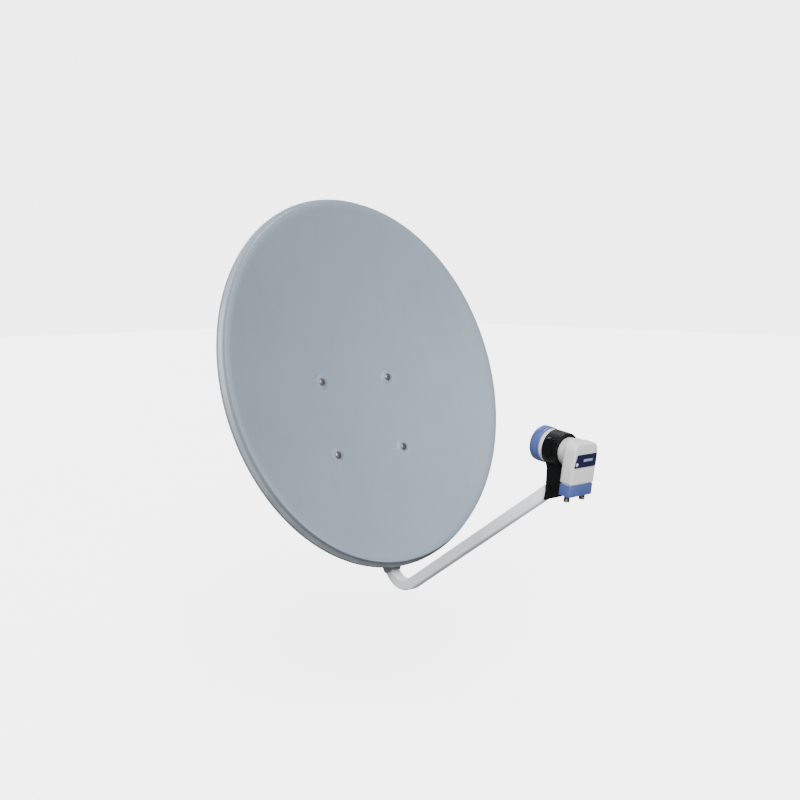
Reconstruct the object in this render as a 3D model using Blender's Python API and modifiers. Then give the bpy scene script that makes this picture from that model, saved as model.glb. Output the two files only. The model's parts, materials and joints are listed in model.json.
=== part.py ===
"""Offset satellite dish on a short wall bracket, 60 cm class.

World frame: metres, +Z up, the wall is the plane Y = 0 and the dish looks towards -Y.
The origin is the centre of the wall plate's rear face.
Frames, each an empty that its pieces are parented to:
  azimuth_axis    on the mast's axis; what turns with the azimuth bracket
  elevation_axis  on the pivot bolt; what tilts with the reflector
  dish_frame      X across, Y up the aperture plane, Z out of the dish, at the aperture's centre
  upper_arm       X across, Z up the arm's rear leg, Y away from the dish, at the arm's corner
  lnb_axis        X across, Y towards the dish along the feed axis, Z up, at the cap's front
  boot_slide      as lnb_axis; carries the boot that slides down over the connectors
"""
import math

import bmesh
import bpy
from mathutils import Matrix, Vector

# ---- driving dimensions, metres and radians ----
GAP = 0.0003                                  # between pieces that touch

APERTURE_WIDTH = 0.600
OFFSET_ANGLE = math.radians(21.1)             # between the aperture's normal and the beam
PLATE_LEAN = math.radians(16.7)               # aperture plane from vertical
DISH_CENTRE = Vector((0.0, -0.250, 0.130))
SHEET = 0.001                                 # reflector sheet thickness
LIP = 0.0074                                  # flat front lip around the reflecting surface
STEP_DEPTH = 0.0092                           # front wall of the stepped rim
FLANGE_OUT = 0.0150                           # rear flange beyond the reflecting surface
RIM_DEPTH = 0.0170
DISH_SEGMENTS = 60

BOLT_ACROSS = 0.156
BOLT_ALONG = 0.133
BOLT_CENTRE = -0.059                          # below the aperture's centre, in its plane

MAST_RADIUS = 0.016
MAST_WALL = 0.002
MAST_REACH = 0.125                            # wall to mast axis
MAST_TOP = 0.188
MAST_BEND = 0.045
PLATE_SIDE = 0.110
PLATE_THICK = 0.004
PLATE_HOLES = 0.080                           # hole to hole

PIVOT = Vector((0.0, -0.168, 0.052))
LOCK_RADIUS = 0.042                           # pivot to lock bolts
RAISE = math.radians(12.0)
LOWER = math.radians(18.0)
UBOLT_HEIGHTS = {"lower": 0.074, "upper": 0.150}
UBOLT_ROD = 0.003
UBOLT_LEG = MAST_RADIUS + UBOLT_ROD + 2 * GAP
CLAMP_FACE = -0.147                           # rear face of the azimuth bracket's back

EAR_AZ = (0.0280, 0.0310)                     # inner and outer face of each azimuth ear
EAR_DISH = (0.0315, 0.0340)                   # of each back bracket ear

TUBE = 0.019                                  # feed arm, square
TUBE_WALL = 0.0015
ARM_CORNER = DISH_CENTRE + Vector((0.0, -0.0701, -0.3768))
UPPER_LEAN = math.radians(29.0)               # arm's rear leg from vertical
LOWER_RISE = math.radians(33.9)               # arm's front leg above horizontal
UPPER_LENGTH = 0.300
LOWER_LENGTH = 0.4325
ARM_BEND = 0.039
CHANNEL_START = 0.0380
CHANNEL_SHEET = 0.0016
CHANNEL_STAND = 0.0008                        # tube to the channel's base
CHANNEL_BOLTS = {"lower": 0.247, "upper": 0.283}

LNB_FRONT = DISH_CENTRE + Vector((0.0, -0.3905, -0.0756))
LNB_TILT = math.radians(8.5)                  # feed axis above horizontal, towards the dish
CAP_RADIUS = 0.0280
CAP_LENGTH = 0.018
HORN_RADIUS = 0.0262
NECK_RADIUS = 0.020
CLAMP_RADIUS = 0.027
CLAMP_FROM = 0.025                            # behind the cap's front
CLAMP_TO = 0.052
LUG_TOP = 0.0172
BOSS_RADIUS = 0.0215
BODY_HALF = 0.0272
BODY_FROM = 0.0675
BODY_SPLIT = 0.0805
BODY_TO = 0.0900
BODY_TOP = 0.021
BODY_BOTTOM = -0.0435
BOOT_BOTTOM = -0.061
SKIRT_BOTTOM = -0.057
LNB_WALL = 0.002
CONNECTOR_OFFSET = 0.0180
CONNECTOR_DEPTH = 0.0787

# ---- derived ----
RADIUS = APERTURE_WIDTH / 2
APERTURE_HEIGHT = APERTURE_WIDTH / math.cos(OFFSET_ANGLE)
FOCAL = APERTURE_WIDTH / (4 * math.tan(OFFSET_ANGLE))

AXIS_TURN = {
    "X": Matrix.Rotation(math.pi / 2, 4, "Y"),
    "Y": Matrix.Rotation(-math.pi / 2, 4, "X"),
    "Z": Matrix.Identity(4),
}


# ---- scene and helpers ----
def clear_scene():
    for old in list(bpy.data.objects):
        bpy.data.objects.remove(old, do_unlink=True)


def new_collection(name):
    made = bpy.data.collections.new(name)
    bpy.context.scene.collection.children.link(made)
    return made


def material(name, colour, roughness, metallic=0.0):
    made = bpy.data.materials.new(name)
    made.use_nodes = True
    shader = made.node_tree.nodes["Principled BSDF"]
    shader.inputs["Base Color"].default_value = (*colour, 1.0)
    shader.inputs["Roughness"].default_value = roughness
    shader.inputs["Metallic"].default_value = metallic
    made.diffuse_color = (*colour, 1.0)
    return made


def empty(name, parent=None, place=None):
    made = bpy.data.objects.new(name, None)
    made.empty_display_size = 0.03
    PARTS.objects.link(made)
    made.parent = parent
    if place is not None:
        made.matrix_local = place
    bpy.context.view_layer.update()
    return made


def add(name, mesh, parent, look=None, smooth=False):
    """Link a mesh as a part, or as a cutter when it has no look."""
    made = bpy.data.objects.new(name, mesh)
    home = PARTS if look else CUTTERS
    home.objects.link(made)
    made.parent = parent
    if look:
        mesh.materials.append(look)
    else:
        made.hide_render = True
        made.display_type = "WIRE"
    if smooth:
        mesh.shade_smooth()
        mesh.set_sharp_from_angle(angle=math.radians(35))
    return made


def finish_mesh(bm, name):
    bmesh.ops.recalc_face_normals(bm, faces=bm.faces)
    mesh = bpy.data.meshes.new(name)
    bm.to_mesh(mesh)
    bm.free()
    return mesh


def box(name, low, high):
    """Box mesh between two corners."""
    low = Vector(low)
    high = Vector(high)
    bm = bmesh.new()
    bmesh.ops.create_cube(bm, size=1.0)
    bmesh.ops.scale(bm, vec=high - low, verts=bm.verts)
    bmesh.ops.translate(bm, vec=(high + low) / 2, verts=bm.verts)
    return finish_mesh(bm, name)


def rod(name, centre, radius, length, axis="Z", sides=16, end_radius=None):
    """Cylinder, cone or, with six sides, hexagon mesh centred on a point."""
    bm = bmesh.new()
    last = radius if end_radius is None else end_radius
    bmesh.ops.create_cone(bm, cap_ends=True, segments=sides, radius1=radius, radius2=last, depth=length)
    bmesh.ops.transform(bm, matrix=Matrix.Translation(centre) @ AXIS_TURN[axis], verts=bm.verts)
    return finish_mesh(bm, name)


def flat(name, outlines, low, high, plane="XY"):
    """Flat piece: closed outlines, holes included, filled and extruded from low to high."""
    curve = bpy.data.curves.new(name, "CURVE")
    curve.dimensions = "2D"
    curve.fill_mode = "BOTH"
    curve.extrude = (high - low) / 2
    for outline in outlines:
        spline = curve.splines.new("POLY")
        spline.points.add(len(outline) - 1)
        for point, (a, b) in zip(spline.points, outline):
            point.co = (a, b, 0.0, 1.0)
        spline.use_cyclic_u = True
    lift = Matrix.Translation((0.0, 0.0, (high + low) / 2))
    turns = {
        "XY": Matrix.Identity(4),
        "XZ": Matrix(((1, 0, 0, 0), (0, 0, 1, 0), (0, 1, 0, 0), (0, 0, 0, 1))),
        "YZ": Matrix(((0, 0, 1, 0), (1, 0, 0, 0), (0, 1, 0, 0), (0, 0, 0, 1))),
    }
    return curve_mesh(curve, turns[plane] @ lift)


def curve_mesh(curve, place=None):
    """The evaluated mesh of a curve, its caps welded."""
    holder = bpy.data.objects.new(curve.name, curve)
    bpy.context.scene.collection.objects.link(holder)
    bpy.context.view_layer.update()
    evaluated = holder.evaluated_get(bpy.context.evaluated_depsgraph_get())
    mesh = bpy.data.meshes.new_from_object(evaluated)
    bpy.data.objects.remove(holder, do_unlink=True)
    bm = bmesh.new()
    bm.from_mesh(mesh)
    bmesh.ops.remove_doubles(bm, verts=bm.verts, dist=1e-6)
    if place is not None:
        bmesh.ops.transform(bm, matrix=place, verts=bm.verts)
    name = curve.name
    bpy.data.curves.remove(curve)
    return finish_mesh(bm, name)


def arc(centre, radius, start, end, steps):
    """Points of an arc, angles in degrees from the outline's first axis."""
    points = []
    for step in range(steps + 1):
        angle = math.radians(start + (end - start) * step / steps)
        points.append((centre[0] + radius * math.cos(angle), centre[1] + radius * math.sin(angle)))
    return points


def circle(centre, radius, sides=16):
    return arc(centre, radius, 0, 360 - 360 / sides, sides - 1)


def rounded(low, high, radius, steps=3):
    """Rectangle outline with round corners; radius may be four values from the lower left."""
    radii = radius if isinstance(radius, tuple) else (radius,) * 4
    corners = (
        ((low[0], low[1]), (1, 1), 180),
        ((high[0], low[1]), (-1, 1), 270),
        ((high[0], high[1]), (-1, -1), 0),
        ((low[0], high[1]), (1, -1), 90),
    )
    points = []
    for (corner, inward, start), r in zip(corners, radii):
        centre = (corner[0] + inward[0] * r, corner[1] + inward[1] * r)
        points += arc(centre, r, start, start + 90, steps)
    return points


def turned(name, profile, place=Matrix.Identity(4), sides=24):
    """Solid of revolution about Z; the profile runs from the axis, down the outside, back to it."""
    bm = bmesh.new()
    verts = [bm.verts.new((r, 0.0, z)) for r, z in profile]
    edges = [bm.edges.new(pair) for pair in zip(verts, verts[1:])]
    if profile[0][0] > 0:
        edges.append(bm.edges.new((verts[-1], verts[0])))
    bmesh.ops.spin(
        bm, geom=verts + edges, cent=(0, 0, 0), axis=(0, 0, 1), angle=2 * math.pi, steps=sides,
        use_duplicate=False,
    )
    bmesh.ops.remove_doubles(bm, verts=bm.verts, dist=1e-6)
    bmesh.ops.dissolve_degenerate(bm, edges=bm.edges, dist=1e-7)
    bmesh.ops.transform(bm, matrix=place, verts=bm.verts)
    return finish_mesh(bm, name)


def shape(target, joined=(), cut=()):
    """Join meshes to a part and cut others from it, with exact Booleans."""
    for operation, meshes in (("UNION", joined), ("DIFFERENCE", cut)):
        for index, mesh in enumerate(meshes):
            tool = add(f"{target.name}_{operation.lower()}_{index}", mesh, target.parent)
            modifier = target.modifiers.new(tool.name, "BOOLEAN")
            modifier.operation = operation
            modifier.solver = "EXACT"
            modifier.object = tool
    return target


def shell(target, thickness, offset=-1.0):
    modifier = target.modifiers.new("wall", "SOLIDIFY")
    modifier.thickness = thickness
    modifier.offset = offset
    modifier.use_even_offset = True
    return target


def soften(target, width, segments=2, angle=40):
    modifier = target.modifiers.new("edges", "BEVEL")
    modifier.width = width
    modifier.segments = segments
    modifier.limit_method = "ANGLE"
    modifier.angle_limit = math.radians(angle)
    return target


def hex_bolt(name, parent, head_face, length, radius, axis, sign, look):
    """Hexagon bolt: head_face is under the head, the shank runs along sign times the axis."""
    unit = AXIS_TURN[axis].to_3x3() @ Vector((0, 0, sign))
    head_height = radius * 1.3
    head = rod(name, Vector(head_face) - unit * head_height / 2, radius * 1.95, head_height, axis, 6)
    bolt = add(name, head, parent, look)
    overlap = head_height / 2
    shank_centre = Vector(head_face) + unit * (length - overlap) / 2
    return shape(bolt, [rod(name + "_shank", shank_centre, radius, length + overlap, axis, 12)])


def hex_nut(name, parent, face, radius, axis, sign, look):
    """Hexagon nut standing on a face, growing along sign times the axis."""
    unit = AXIS_TURN[axis].to_3x3() @ Vector((0, 0, sign))
    height = radius * 1.6
    centre = Vector(face) + unit * height / 2
    nut = add(name, rod(name, centre, radius * 1.95, height, axis, 6), parent, look)
    return shape(nut, cut=[rod(name + "_hole", centre, radius + GAP, height * 2, axis, 12)])


# ---- wall mount ----
def build_wall_plate():
    half = PLATE_SIDE / 2
    outlines = [rounded((-half, -half), (half, half), 0.012)]
    for side in (-1, 1):
        for level in (-1, 1):
            outlines.append(circle((side * PLATE_HOLES / 2, level * PLATE_HOLES / 2), 0.0045, 12))
    add("wall_plate", flat("wall_plate", outlines, -PLATE_THICK, 0.0, "XZ"), None, LOOKS["galvanised"])


def build_mast():
    """Tube out of the plate, up round a bend, open at the top for its cap."""
    centre = (-MAST_REACH + MAST_BEND, MAST_BEND)
    path = [(-PLATE_THICK - GAP, 0.0)]
    path += arc(centre, MAST_BEND, 270, 180, 7)
    path.append((-MAST_REACH, MAST_TOP))
    curve = bpy.data.curves.new("mast_tube", "CURVE")
    curve.dimensions = "3D"
    curve.bevel_depth = MAST_RADIUS
    curve.bevel_resolution = 4
    curve.use_fill_caps = False
    spline = curve.splines.new("POLY")
    spline.points.add(len(path) - 1)
    for point, (y, z) in zip(spline.points, path):
        point.co = (0.0, y, z, 1.0)
    tube = add("mast_tube", curve_mesh(curve), None, LOOKS["galvanised"], smooth=True)
    shell(tube, MAST_WALL)
    bore = MAST_RADIUS - MAST_WALL - 2 * GAP
    profile = [
        (0.0, 0.003), (0.012, 0.0028), (MAST_RADIUS, 0.0015), (MAST_RADIUS, 0.0),
        (bore, 0.0), (bore - 0.001, -0.014), (bore - 0.004, -0.014), (bore - 0.003, -0.0015), (0.0, -0.0015),
    ]
    place = Matrix.Translation((0.0, -MAST_REACH, MAST_TOP + GAP))
    add("mast_cap", turned("mast_cap", profile, place), None, LOOKS["black_plastic"], smooth=True)


# ---- azimuth clamp ----
def build_azimuth_bracket(parent):
    """Pressed U: a back across the mast and two ears forward with the elevation slots."""
    inner, outer = EAR_AZ
    y0 = MAST_REACH
    back = CLAMP_FACE + y0
    low, high = 0.052, 0.172
    bracket = add("azimuth_bracket", box("azimuth_bracket", (-outer, back - 0.003, low), (outer, back, high)),
                  parent, LOOKS["galvanised"])
    pivot = (PIVOT.y + y0, PIVOT.z)
    ear = [(back, 0.040)]
    ear += arc(pivot, 0.014, 250, 170, 5)
    ear += arc(pivot, LOCK_RADIUS + 0.008, 118, 66, 6)
    ear += [(back, 0.118)]
    slot = (85 - math.degrees(RAISE), 95 + math.degrees(LOWER))
    slot_in = arc(pivot, LOCK_RADIUS - 0.0034, slot[0], slot[1], 8)
    slot_out = arc(pivot, LOCK_RADIUS + 0.0034, slot[1], slot[0], 8)
    holes = [circle(pivot, 0.0043), slot_in + slot_out]
    ears = []
    for side in (-1, 1):
        faces = sorted((side * inner, side * outer))
        ears.append(flat(f"ear_{side}", [ear] + holes, faces[0], faces[1], "YZ"))
    legs = []
    for height in UBOLT_HEIGHTS.values():
        for side in (-1, 1):
            legs.append(rod("leg_hole", (side * UBOLT_LEG, back, height), UBOLT_ROD + GAP, 0.02, "Y", 12))
    shape(bracket, ears, legs)


def build_mast_clamps(parent):
    back = CLAMP_FACE + MAST_REACH
    for name, height in UBOLT_HEIGHTS.items():
        notch = arc((0.0, 0.0), MAST_RADIUS + GAP, 335, 205, 8)
        outline = [(-0.0155, back + GAP), (0.0155, back + GAP), (0.0155, notch[0][1])] + notch
        outline.append((-0.0155, notch[-1][1]))
        saddle = flat(f"saddle_{name}", [outline], height - 0.007, height + 0.007)
        add(f"mast_saddle_{name}", saddle, parent, LOOKS["galvanised"])

        curve = bpy.data.curves.new(f"u_bolt_{name}", "CURVE")
        curve.dimensions = "3D"
        curve.bevel_depth = UBOLT_ROD
        curve.bevel_resolution = 2
        curve.use_fill_caps = True
        tip = back - 0.017
        path = [(UBOLT_LEG, tip)] + arc((0.0, 0.0), UBOLT_LEG, 0, 180, 12) + [(-UBOLT_LEG, tip)]
        spline = curve.splines.new("POLY")
        spline.points.add(len(path) - 1)
        for point, (x, y) in zip(spline.points, path):
            point.co = (x, y, height, 1.0)
        add(f"u_bolt_{name}", curve_mesh(curve), parent, LOOKS["zinc"], smooth=True)

        for side_name, side in (("left", -1), ("right", 1)):
            face = (side * UBOLT_LEG, back - 0.003 - GAP, height)
            hex_nut(f"u_bolt_nut_{name}_{side_name}", parent, face, UBOLT_ROD, "Y", -1, LOOKS["zinc"])


# ---- reflector and back bracket ----
def dish_point(across, along):
    """Point of the offset paraboloid, in the dish frame."""
    depth = (RADIUS ** 2 - across ** 2 - (along * math.cos(OFFSET_ANGLE)) ** 2) / (4 * FOCAL)
    return Vector((across, along - depth * math.sin(OFFSET_ANGLE), -depth * math.cos(OFFSET_ANGLE)))


def surface_height(across, along_plane):
    """Height of the surface over the aperture plane, at a point given in that plane."""
    along = along_plane
    for _ in range(20):
        along = along_plane + (along - dish_point(across, along).y)
    return dish_point(across, along).z


def bolt_places():
    """The four dish bolts: name, across, along, and the surface's height there."""
    places = []
    for level_name, level in (("upper", 1), ("lower", -1)):
        for side_name, side in (("left", -1), ("right", 1)):
            across = side * BOLT_ACROSS / 2
            along = BOLT_CENTRE + level * BOLT_ALONG / 2
            places.append((f"{level_name}_{side_name}", across, along, surface_height(across, along)))
    return places


def build_reflector(parent):
    """A turned disc with the stepped rim, each point then set on the offset paraboloid."""
    rings = [(r, 0.0) for r in (0.0, 0.18, 0.36, 0.52, 0.68, 0.82, 0.92, 1.0)]
    rim = [
        (LIP, 0.0), (LIP + 0.0008, -STEP_DEPTH), (FLANGE_OUT - 0.0008, -STEP_DEPTH - 0.0005),
        (FLANGE_OUT, -RIM_DEPTH + 0.0010), (FLANGE_OUT - 0.0018, -RIM_DEPTH),
    ]
    bm = bmesh.new()
    verts = [bm.verts.new((r, 0.0, w)) for r, w in rings + [(1.0 + out, w) for out, w in rim]]
    edges = [bm.edges.new(pair) for pair in zip(verts, verts[1:])]
    bmesh.ops.spin(
        bm, geom=verts + edges, cent=(0, 0, 0), axis=(0, 0, 1), angle=2 * math.pi, steps=DISH_SEGMENTS,
        use_duplicate=False,
    )
    bmesh.ops.remove_doubles(bm, verts=bm.verts, dist=1e-4)
    for vert in bm.verts:
        reach = math.hypot(vert.co.x, vert.co.y)
        inside = min(reach, 1.0)
        turn = Vector((vert.co.x, vert.co.y)) / reach if reach > 0 else Vector((0.0, 0.0))
        point = dish_point(inside * turn.x * RADIUS, inside * turn.y * APERTURE_HEIGHT / 2)
        if reach > 1.0 + 1e-6:
            out = Vector((turn.x / RADIUS, turn.y / (APERTURE_HEIGHT / 2), 0.0)).normalized()
            point += out * (reach - 1.0) + Vector((0.0, 0.0, vert.co.z))
        vert.co = point
    bmesh.ops.recalc_face_normals(bm, faces=bm.faces)
    centre_face = min(bm.faces, key=lambda face: face.calc_center_median().xy.length)
    if centre_face.normal.z < 0:
        bmesh.ops.reverse_faces(bm, faces=bm.faces)
    mesh = bpy.data.meshes.new("reflector")
    bm.to_mesh(mesh)
    bm.free()
    dish = add("reflector", mesh, parent, LOOKS["dish_grey"], smooth=True)
    shell(dish, SHEET)
    holes = [rod("hole", (x, y, w), 0.0034, 0.03, "Z", 12) for _, x, y, w in bolt_places()]
    shape(dish, cut=holes)


def foot_height(surface):
    """Front face of a back bracket foot, clear of the sheet's curve under it."""
    return surface - 0.0028


def build_back_bracket(parent):
    """Pressed plate with four cupped feet and two ears, one piece."""
    front, back = -0.0620, -0.0645
    low = BOLT_CENTRE - BOLT_ALONG / 2
    high = BOLT_CENTRE + BOLT_ALONG / 2
    outer = EAR_DISH[1]
    rail = outer + 0.012
    spine = rounded((-rail, low - 0.017), (rail, high + 0.016), 0.004, 2)
    window = rounded((-EAR_DISH[0], low + 0.0185), (EAR_DISH[0], high - 0.0115), 0.004, 2)
    plate = flat("back_bracket", [spine, window], back, front)
    bracket = add("back_bracket", plate, parent, LOOKS["galvanised"])
    joined = []
    cut = []
    reach = BOLT_ACROSS / 2 + 0.019
    for level in (low, high):
        for side in (-1, 1):
            across = sorted((side * (rail - 0.003), side * reach))
            wing = rounded((across[0], level - 0.0155), (across[1], level + 0.0155), 0.010)
            joined.append(flat("wing", [wing], back + 0.00001, front - 0.00001))
    ear = [(high + 0.016, back + 0.0012), (high + 0.016, -0.088)]
    ear += [(0.0, -0.0965), (-0.036, -0.1110), (-0.062, -0.1130), (-0.104, -0.1130), (-0.1475, -0.1035)]
    ear += [(low - 0.0245, -0.0930), (low - 0.017, -0.0800), (low - 0.017, back + 0.0012)]
    pivot = into(parent, PIVOT)
    lock = into(parent, PIVOT + Vector((0.0, 0.0, LOCK_RADIUS)))
    holes = [circle((pivot.y, pivot.z), 0.0043), circle((lock.y, lock.z), 0.0034, 12)]
    for place in CHANNEL_BOLTS.values():
        spot = into(parent, upper_point(place))
        holes.append(circle((spot.y, spot.z), 0.0034, 12))
    for side in (-1, 1):
        faces = sorted((side * EAR_DISH[0], side * EAR_DISH[1]))
        joined.append(flat(f"ear_{side}", [ear] + holes, faces[0], faces[1], "YZ"))
    for _, x, y, surface in bolt_places():
        top = foot_height(surface)
        base = back + 0.0010
        tall = top - base
        joined.append(rod("foot", (x, y, base + tall / 2), 0.0165, tall, "Z", 20, 0.0130))
        roof = top - 0.0025
        middle = (roof + back) / 2 - 0.002
        cut.append(rod("cup", (x, y, middle), 0.0140, roof - back + 0.004, "Z", 20, 0.0102))
        cut.append(rod("bolt_hole", (x, y, top), 0.0034, 0.02, "Z", 12))
    shape(bracket, joined, cut)


def build_dish_bolts(parent):
    """Round-headed bolts from the front, nuts inside the bracket's feet."""
    for name, x, y, surface in bolt_places():
        seat = surface + 0.0017
        roof = foot_height(surface) - 0.0025
        tail = roof - 0.0085
        profile = [
            (0.0, 0.0032), (0.0032, 0.0028), (0.0056, 0.0016), (0.0068, 0.0), (0.0030, 0.0),
            (0.0030, tail - seat), (0.0, tail - seat),
        ]
        bolt = turned(f"dish_bolt_{name}", profile, Matrix.Translation((x, y, seat)), 16)
        add(f"dish_bolt_{name}", bolt, parent, LOOKS["bolt_grey"], smooth=True)
        hex_nut(f"dish_nut_{name}", parent, (x, y, roof - GAP), 0.0030, "Z", -1, LOOKS["zinc"])


def build_elevation_fasteners(parent):
    """Pivot bolt through all four ears, and a lock bolt in each slot."""
    outer = EAR_DISH[1] + GAP
    centre = into(parent, PIVOT)
    head = (-outer, centre.y, centre.z)
    hex_bolt("pivot_bolt", parent, head, 2 * outer + 0.012, 0.0040, "X", 1, LOOKS["zinc"])
    hex_nut("pivot_nut", parent, (outer, centre.y, centre.z), 0.0040, "X", 1, LOOKS["zinc"])
    lock = into(parent, PIVOT + Vector((0.0, 0.0, LOCK_RADIUS)))
    for name, side in (("left", -1), ("right", 1)):
        head = (side * (EAR_AZ[0] - GAP), lock.y, lock.z)
        face = (side * outer, lock.y, lock.z)
        length = outer - EAR_AZ[0] + GAP + 0.011
        hex_bolt(f"lock_bolt_{name}", parent, head, length, 0.0030, "X", side, LOOKS["zinc"])
        hex_nut(f"lock_nut_{name}", parent, face, 0.0030, "X", side, LOOKS["zinc"])


# ---- feed arm ----
def upper_point(distance):
    """Point up the arm's rear leg from the corner, world frame."""
    return ARM_CORNER + Vector((0.0, math.sin(UPPER_LEAN), math.cos(UPPER_LEAN))) * distance


def lower_point(distance):
    """Point up the arm's front leg from the corner, world frame."""
    return ARM_CORNER + Vector((0.0, -math.cos(LOWER_RISE), math.sin(LOWER_RISE))) * distance


def into(frame, point):
    """A world point in a frame's own coordinates."""
    return frame.matrix_world.inverted() @ point


def arm_path():
    """The tube's centre line: rear leg, bend, front leg."""
    up = (upper_point(1.0) - ARM_CORNER).normalized()
    out = (lower_point(1.0) - ARM_CORNER).normalized()
    half = up.angle(out) / 2
    reach = ARM_BEND / math.tan(half)
    centre = ARM_CORNER + (up + out).normalized() * ARM_BEND / math.sin(half)
    start = ARM_CORNER + up * reach - centre
    path = [upper_point(UPPER_LENGTH)]
    steps = 8
    sweep = math.pi - 2 * half
    for step in range(steps + 1):
        turn = Matrix.Rotation(-sweep * step / steps, 3, "X")
        path.append(centre + turn @ start)
    path.append(lower_point(LOWER_LENGTH))
    return path


def build_feed_arm(parent):
    section = bpy.data.curves.new("arm_section", "CURVE")
    half = TUBE / 2
    spline = section.splines.new("POLY")
    outline = rounded((-half, -half), (half, half), 0.0030, 2)
    spline.points.add(len(outline) - 1)
    for point, (a, b) in zip(spline.points, outline):
        point.co = (a, b, 0.0, 1.0)
    spline.use_cyclic_u = True
    profile = bpy.data.objects.new("arm_section", section)
    CUTTERS.objects.link(profile)
    profile.hide_render = True

    curve = bpy.data.curves.new("feed_arm", "CURVE")
    curve.dimensions = "3D"
    curve.bevel_mode = "OBJECT"
    curve.bevel_object = profile
    curve.use_fill_caps = False
    spline = curve.splines.new("POLY")
    path = arm_path()
    spline.points.add(len(path) - 1)
    for point, place in zip(spline.points, path):
        point.co = (*into(parent, place), 1.0)
    mesh = curve_mesh(curve)
    bpy.data.objects.remove(profile, do_unlink=True)
    arm = add("feed_arm", mesh, parent, LOOKS["arm_white"], smooth=True)
    shell(arm, TUBE_WALL)
    holes = []
    for place in CHANNEL_BOLTS.values():
        holes.append(rod("hole", into(parent, upper_point(place)), 0.0034, 0.05, "X", 12))
    holes.append(rod("hole", into(parent, lower_point(LOWER_LENGTH - 0.012)), 0.0026, 0.05, "X", 12))
    shape(arm, cut=holes)

    inner = TUBE / 2 - TUBE_WALL - 2 * GAP
    top = UPPER_LENGTH + GAP
    plug = add("arm_end_plug", box("arm_end_plug", (-half, -half, top), (half, half, top + 0.003)),
               UPPER, LOOKS["black_plastic"])
    tongue = box("tongue", (-inner, -inner, top - 0.009), (inner, inner, top + 0.001))
    shape(plug, [tongue])


def build_arm_channel(parent):
    """U of sheet round the tube: its base faces the dish, its ends are round lobes."""
    inner = TUBE / 2 + GAP
    outer = inner + CHANNEL_SHEET
    base_in = -TUBE / 2 - CHANNEL_STAND
    base_out = base_in - CHANNEL_SHEET
    start = CHANNEL_START
    end = UPPER_LENGTH - 0.004
    lobe = 0.006
    side_outline = arc((base_out + lobe, start + lobe), lobe, 180, 270, 4)
    side_outline += arc((inner - lobe, start + lobe), lobe, 270, 360, 4) + [(inner, end), (base_out, end)]
    base_outline = arc((-inner + lobe - 0.0005, start + lobe), lobe, 180, 270, 4)
    base_outline += arc((inner - lobe + 0.0005, start + lobe), lobe, 270, 360, 4)
    base_outline += [(inner + 0.0005, end - 0.00001), (-inner - 0.0005, end - 0.00001)]
    holes = [circle((0.0, place), 0.0034, 12) for place in CHANNEL_BOLTS.values()]
    base = flat("arm_channel", [base_outline], base_out + 0.00001, base_in, "XZ")
    channel = add("arm_channel", base, parent, LOOKS["bracket_grey"])
    sides = []
    for side in (-1, 1):
        faces = sorted((side * inner, side * outer))
        sides.append(flat(f"side_{side}", [side_outline] + holes, faces[0], faces[1], "YZ"))
    shape(channel, sides)


def build_arm_fasteners(parent):
    """Two bolts through ears, spacers, channel and tube."""
    outer = EAR_DISH[1] + GAP
    for name, place in CHANNEL_BOLTS.items():
        centre = into(parent, upper_point(place))
        hex_bolt(f"arm_bolt_{name}", parent, (-outer, centre.y, centre.z), 2 * outer + 0.009, 0.0030, "X", 1,
                 LOOKS["zinc"])
        hex_nut(f"arm_nut_{name}", parent, (outer, centre.y, centre.z), 0.0030, "X", 1, LOOKS["zinc"])
        low = TUBE / 2 + CHANNEL_SHEET + 2 * GAP
        high = EAR_DISH[0] - GAP
        for side_name, side in (("left", -1), ("right", 1)):
            middle = (side * (low + high) / 2, centre.y, centre.z)
            spacer = add(f"arm_spacer_{name}_{side_name}", rod("spacer", middle, 0.0060, high - low, "X", 16),
                         parent, LOOKS["zinc"])
            shape(spacer, cut=[rod("spacer_bore", middle, 0.0033, 0.05, "X", 12)])


def build_rim_stay(parent):
    """Bent strap that ties the channel to the dish's rim."""
    face = -(TUBE / 2 + CHANNEL_STAND + CHANNEL_SHEET + GAP)
    outline = [
        (face, 0.072), (face - 0.002, 0.072), (face - 0.002, 0.0560), (face - 0.0170, 0.0470),
        (face - 0.0170, 0.0450), (face - 0.0150, 0.0450), (face, 0.0540),
    ]
    add("rim_stay", flat("rim_stay", [outline], -0.007, 0.007, "YZ"), parent, LOOKS["bracket_grey"])


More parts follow.
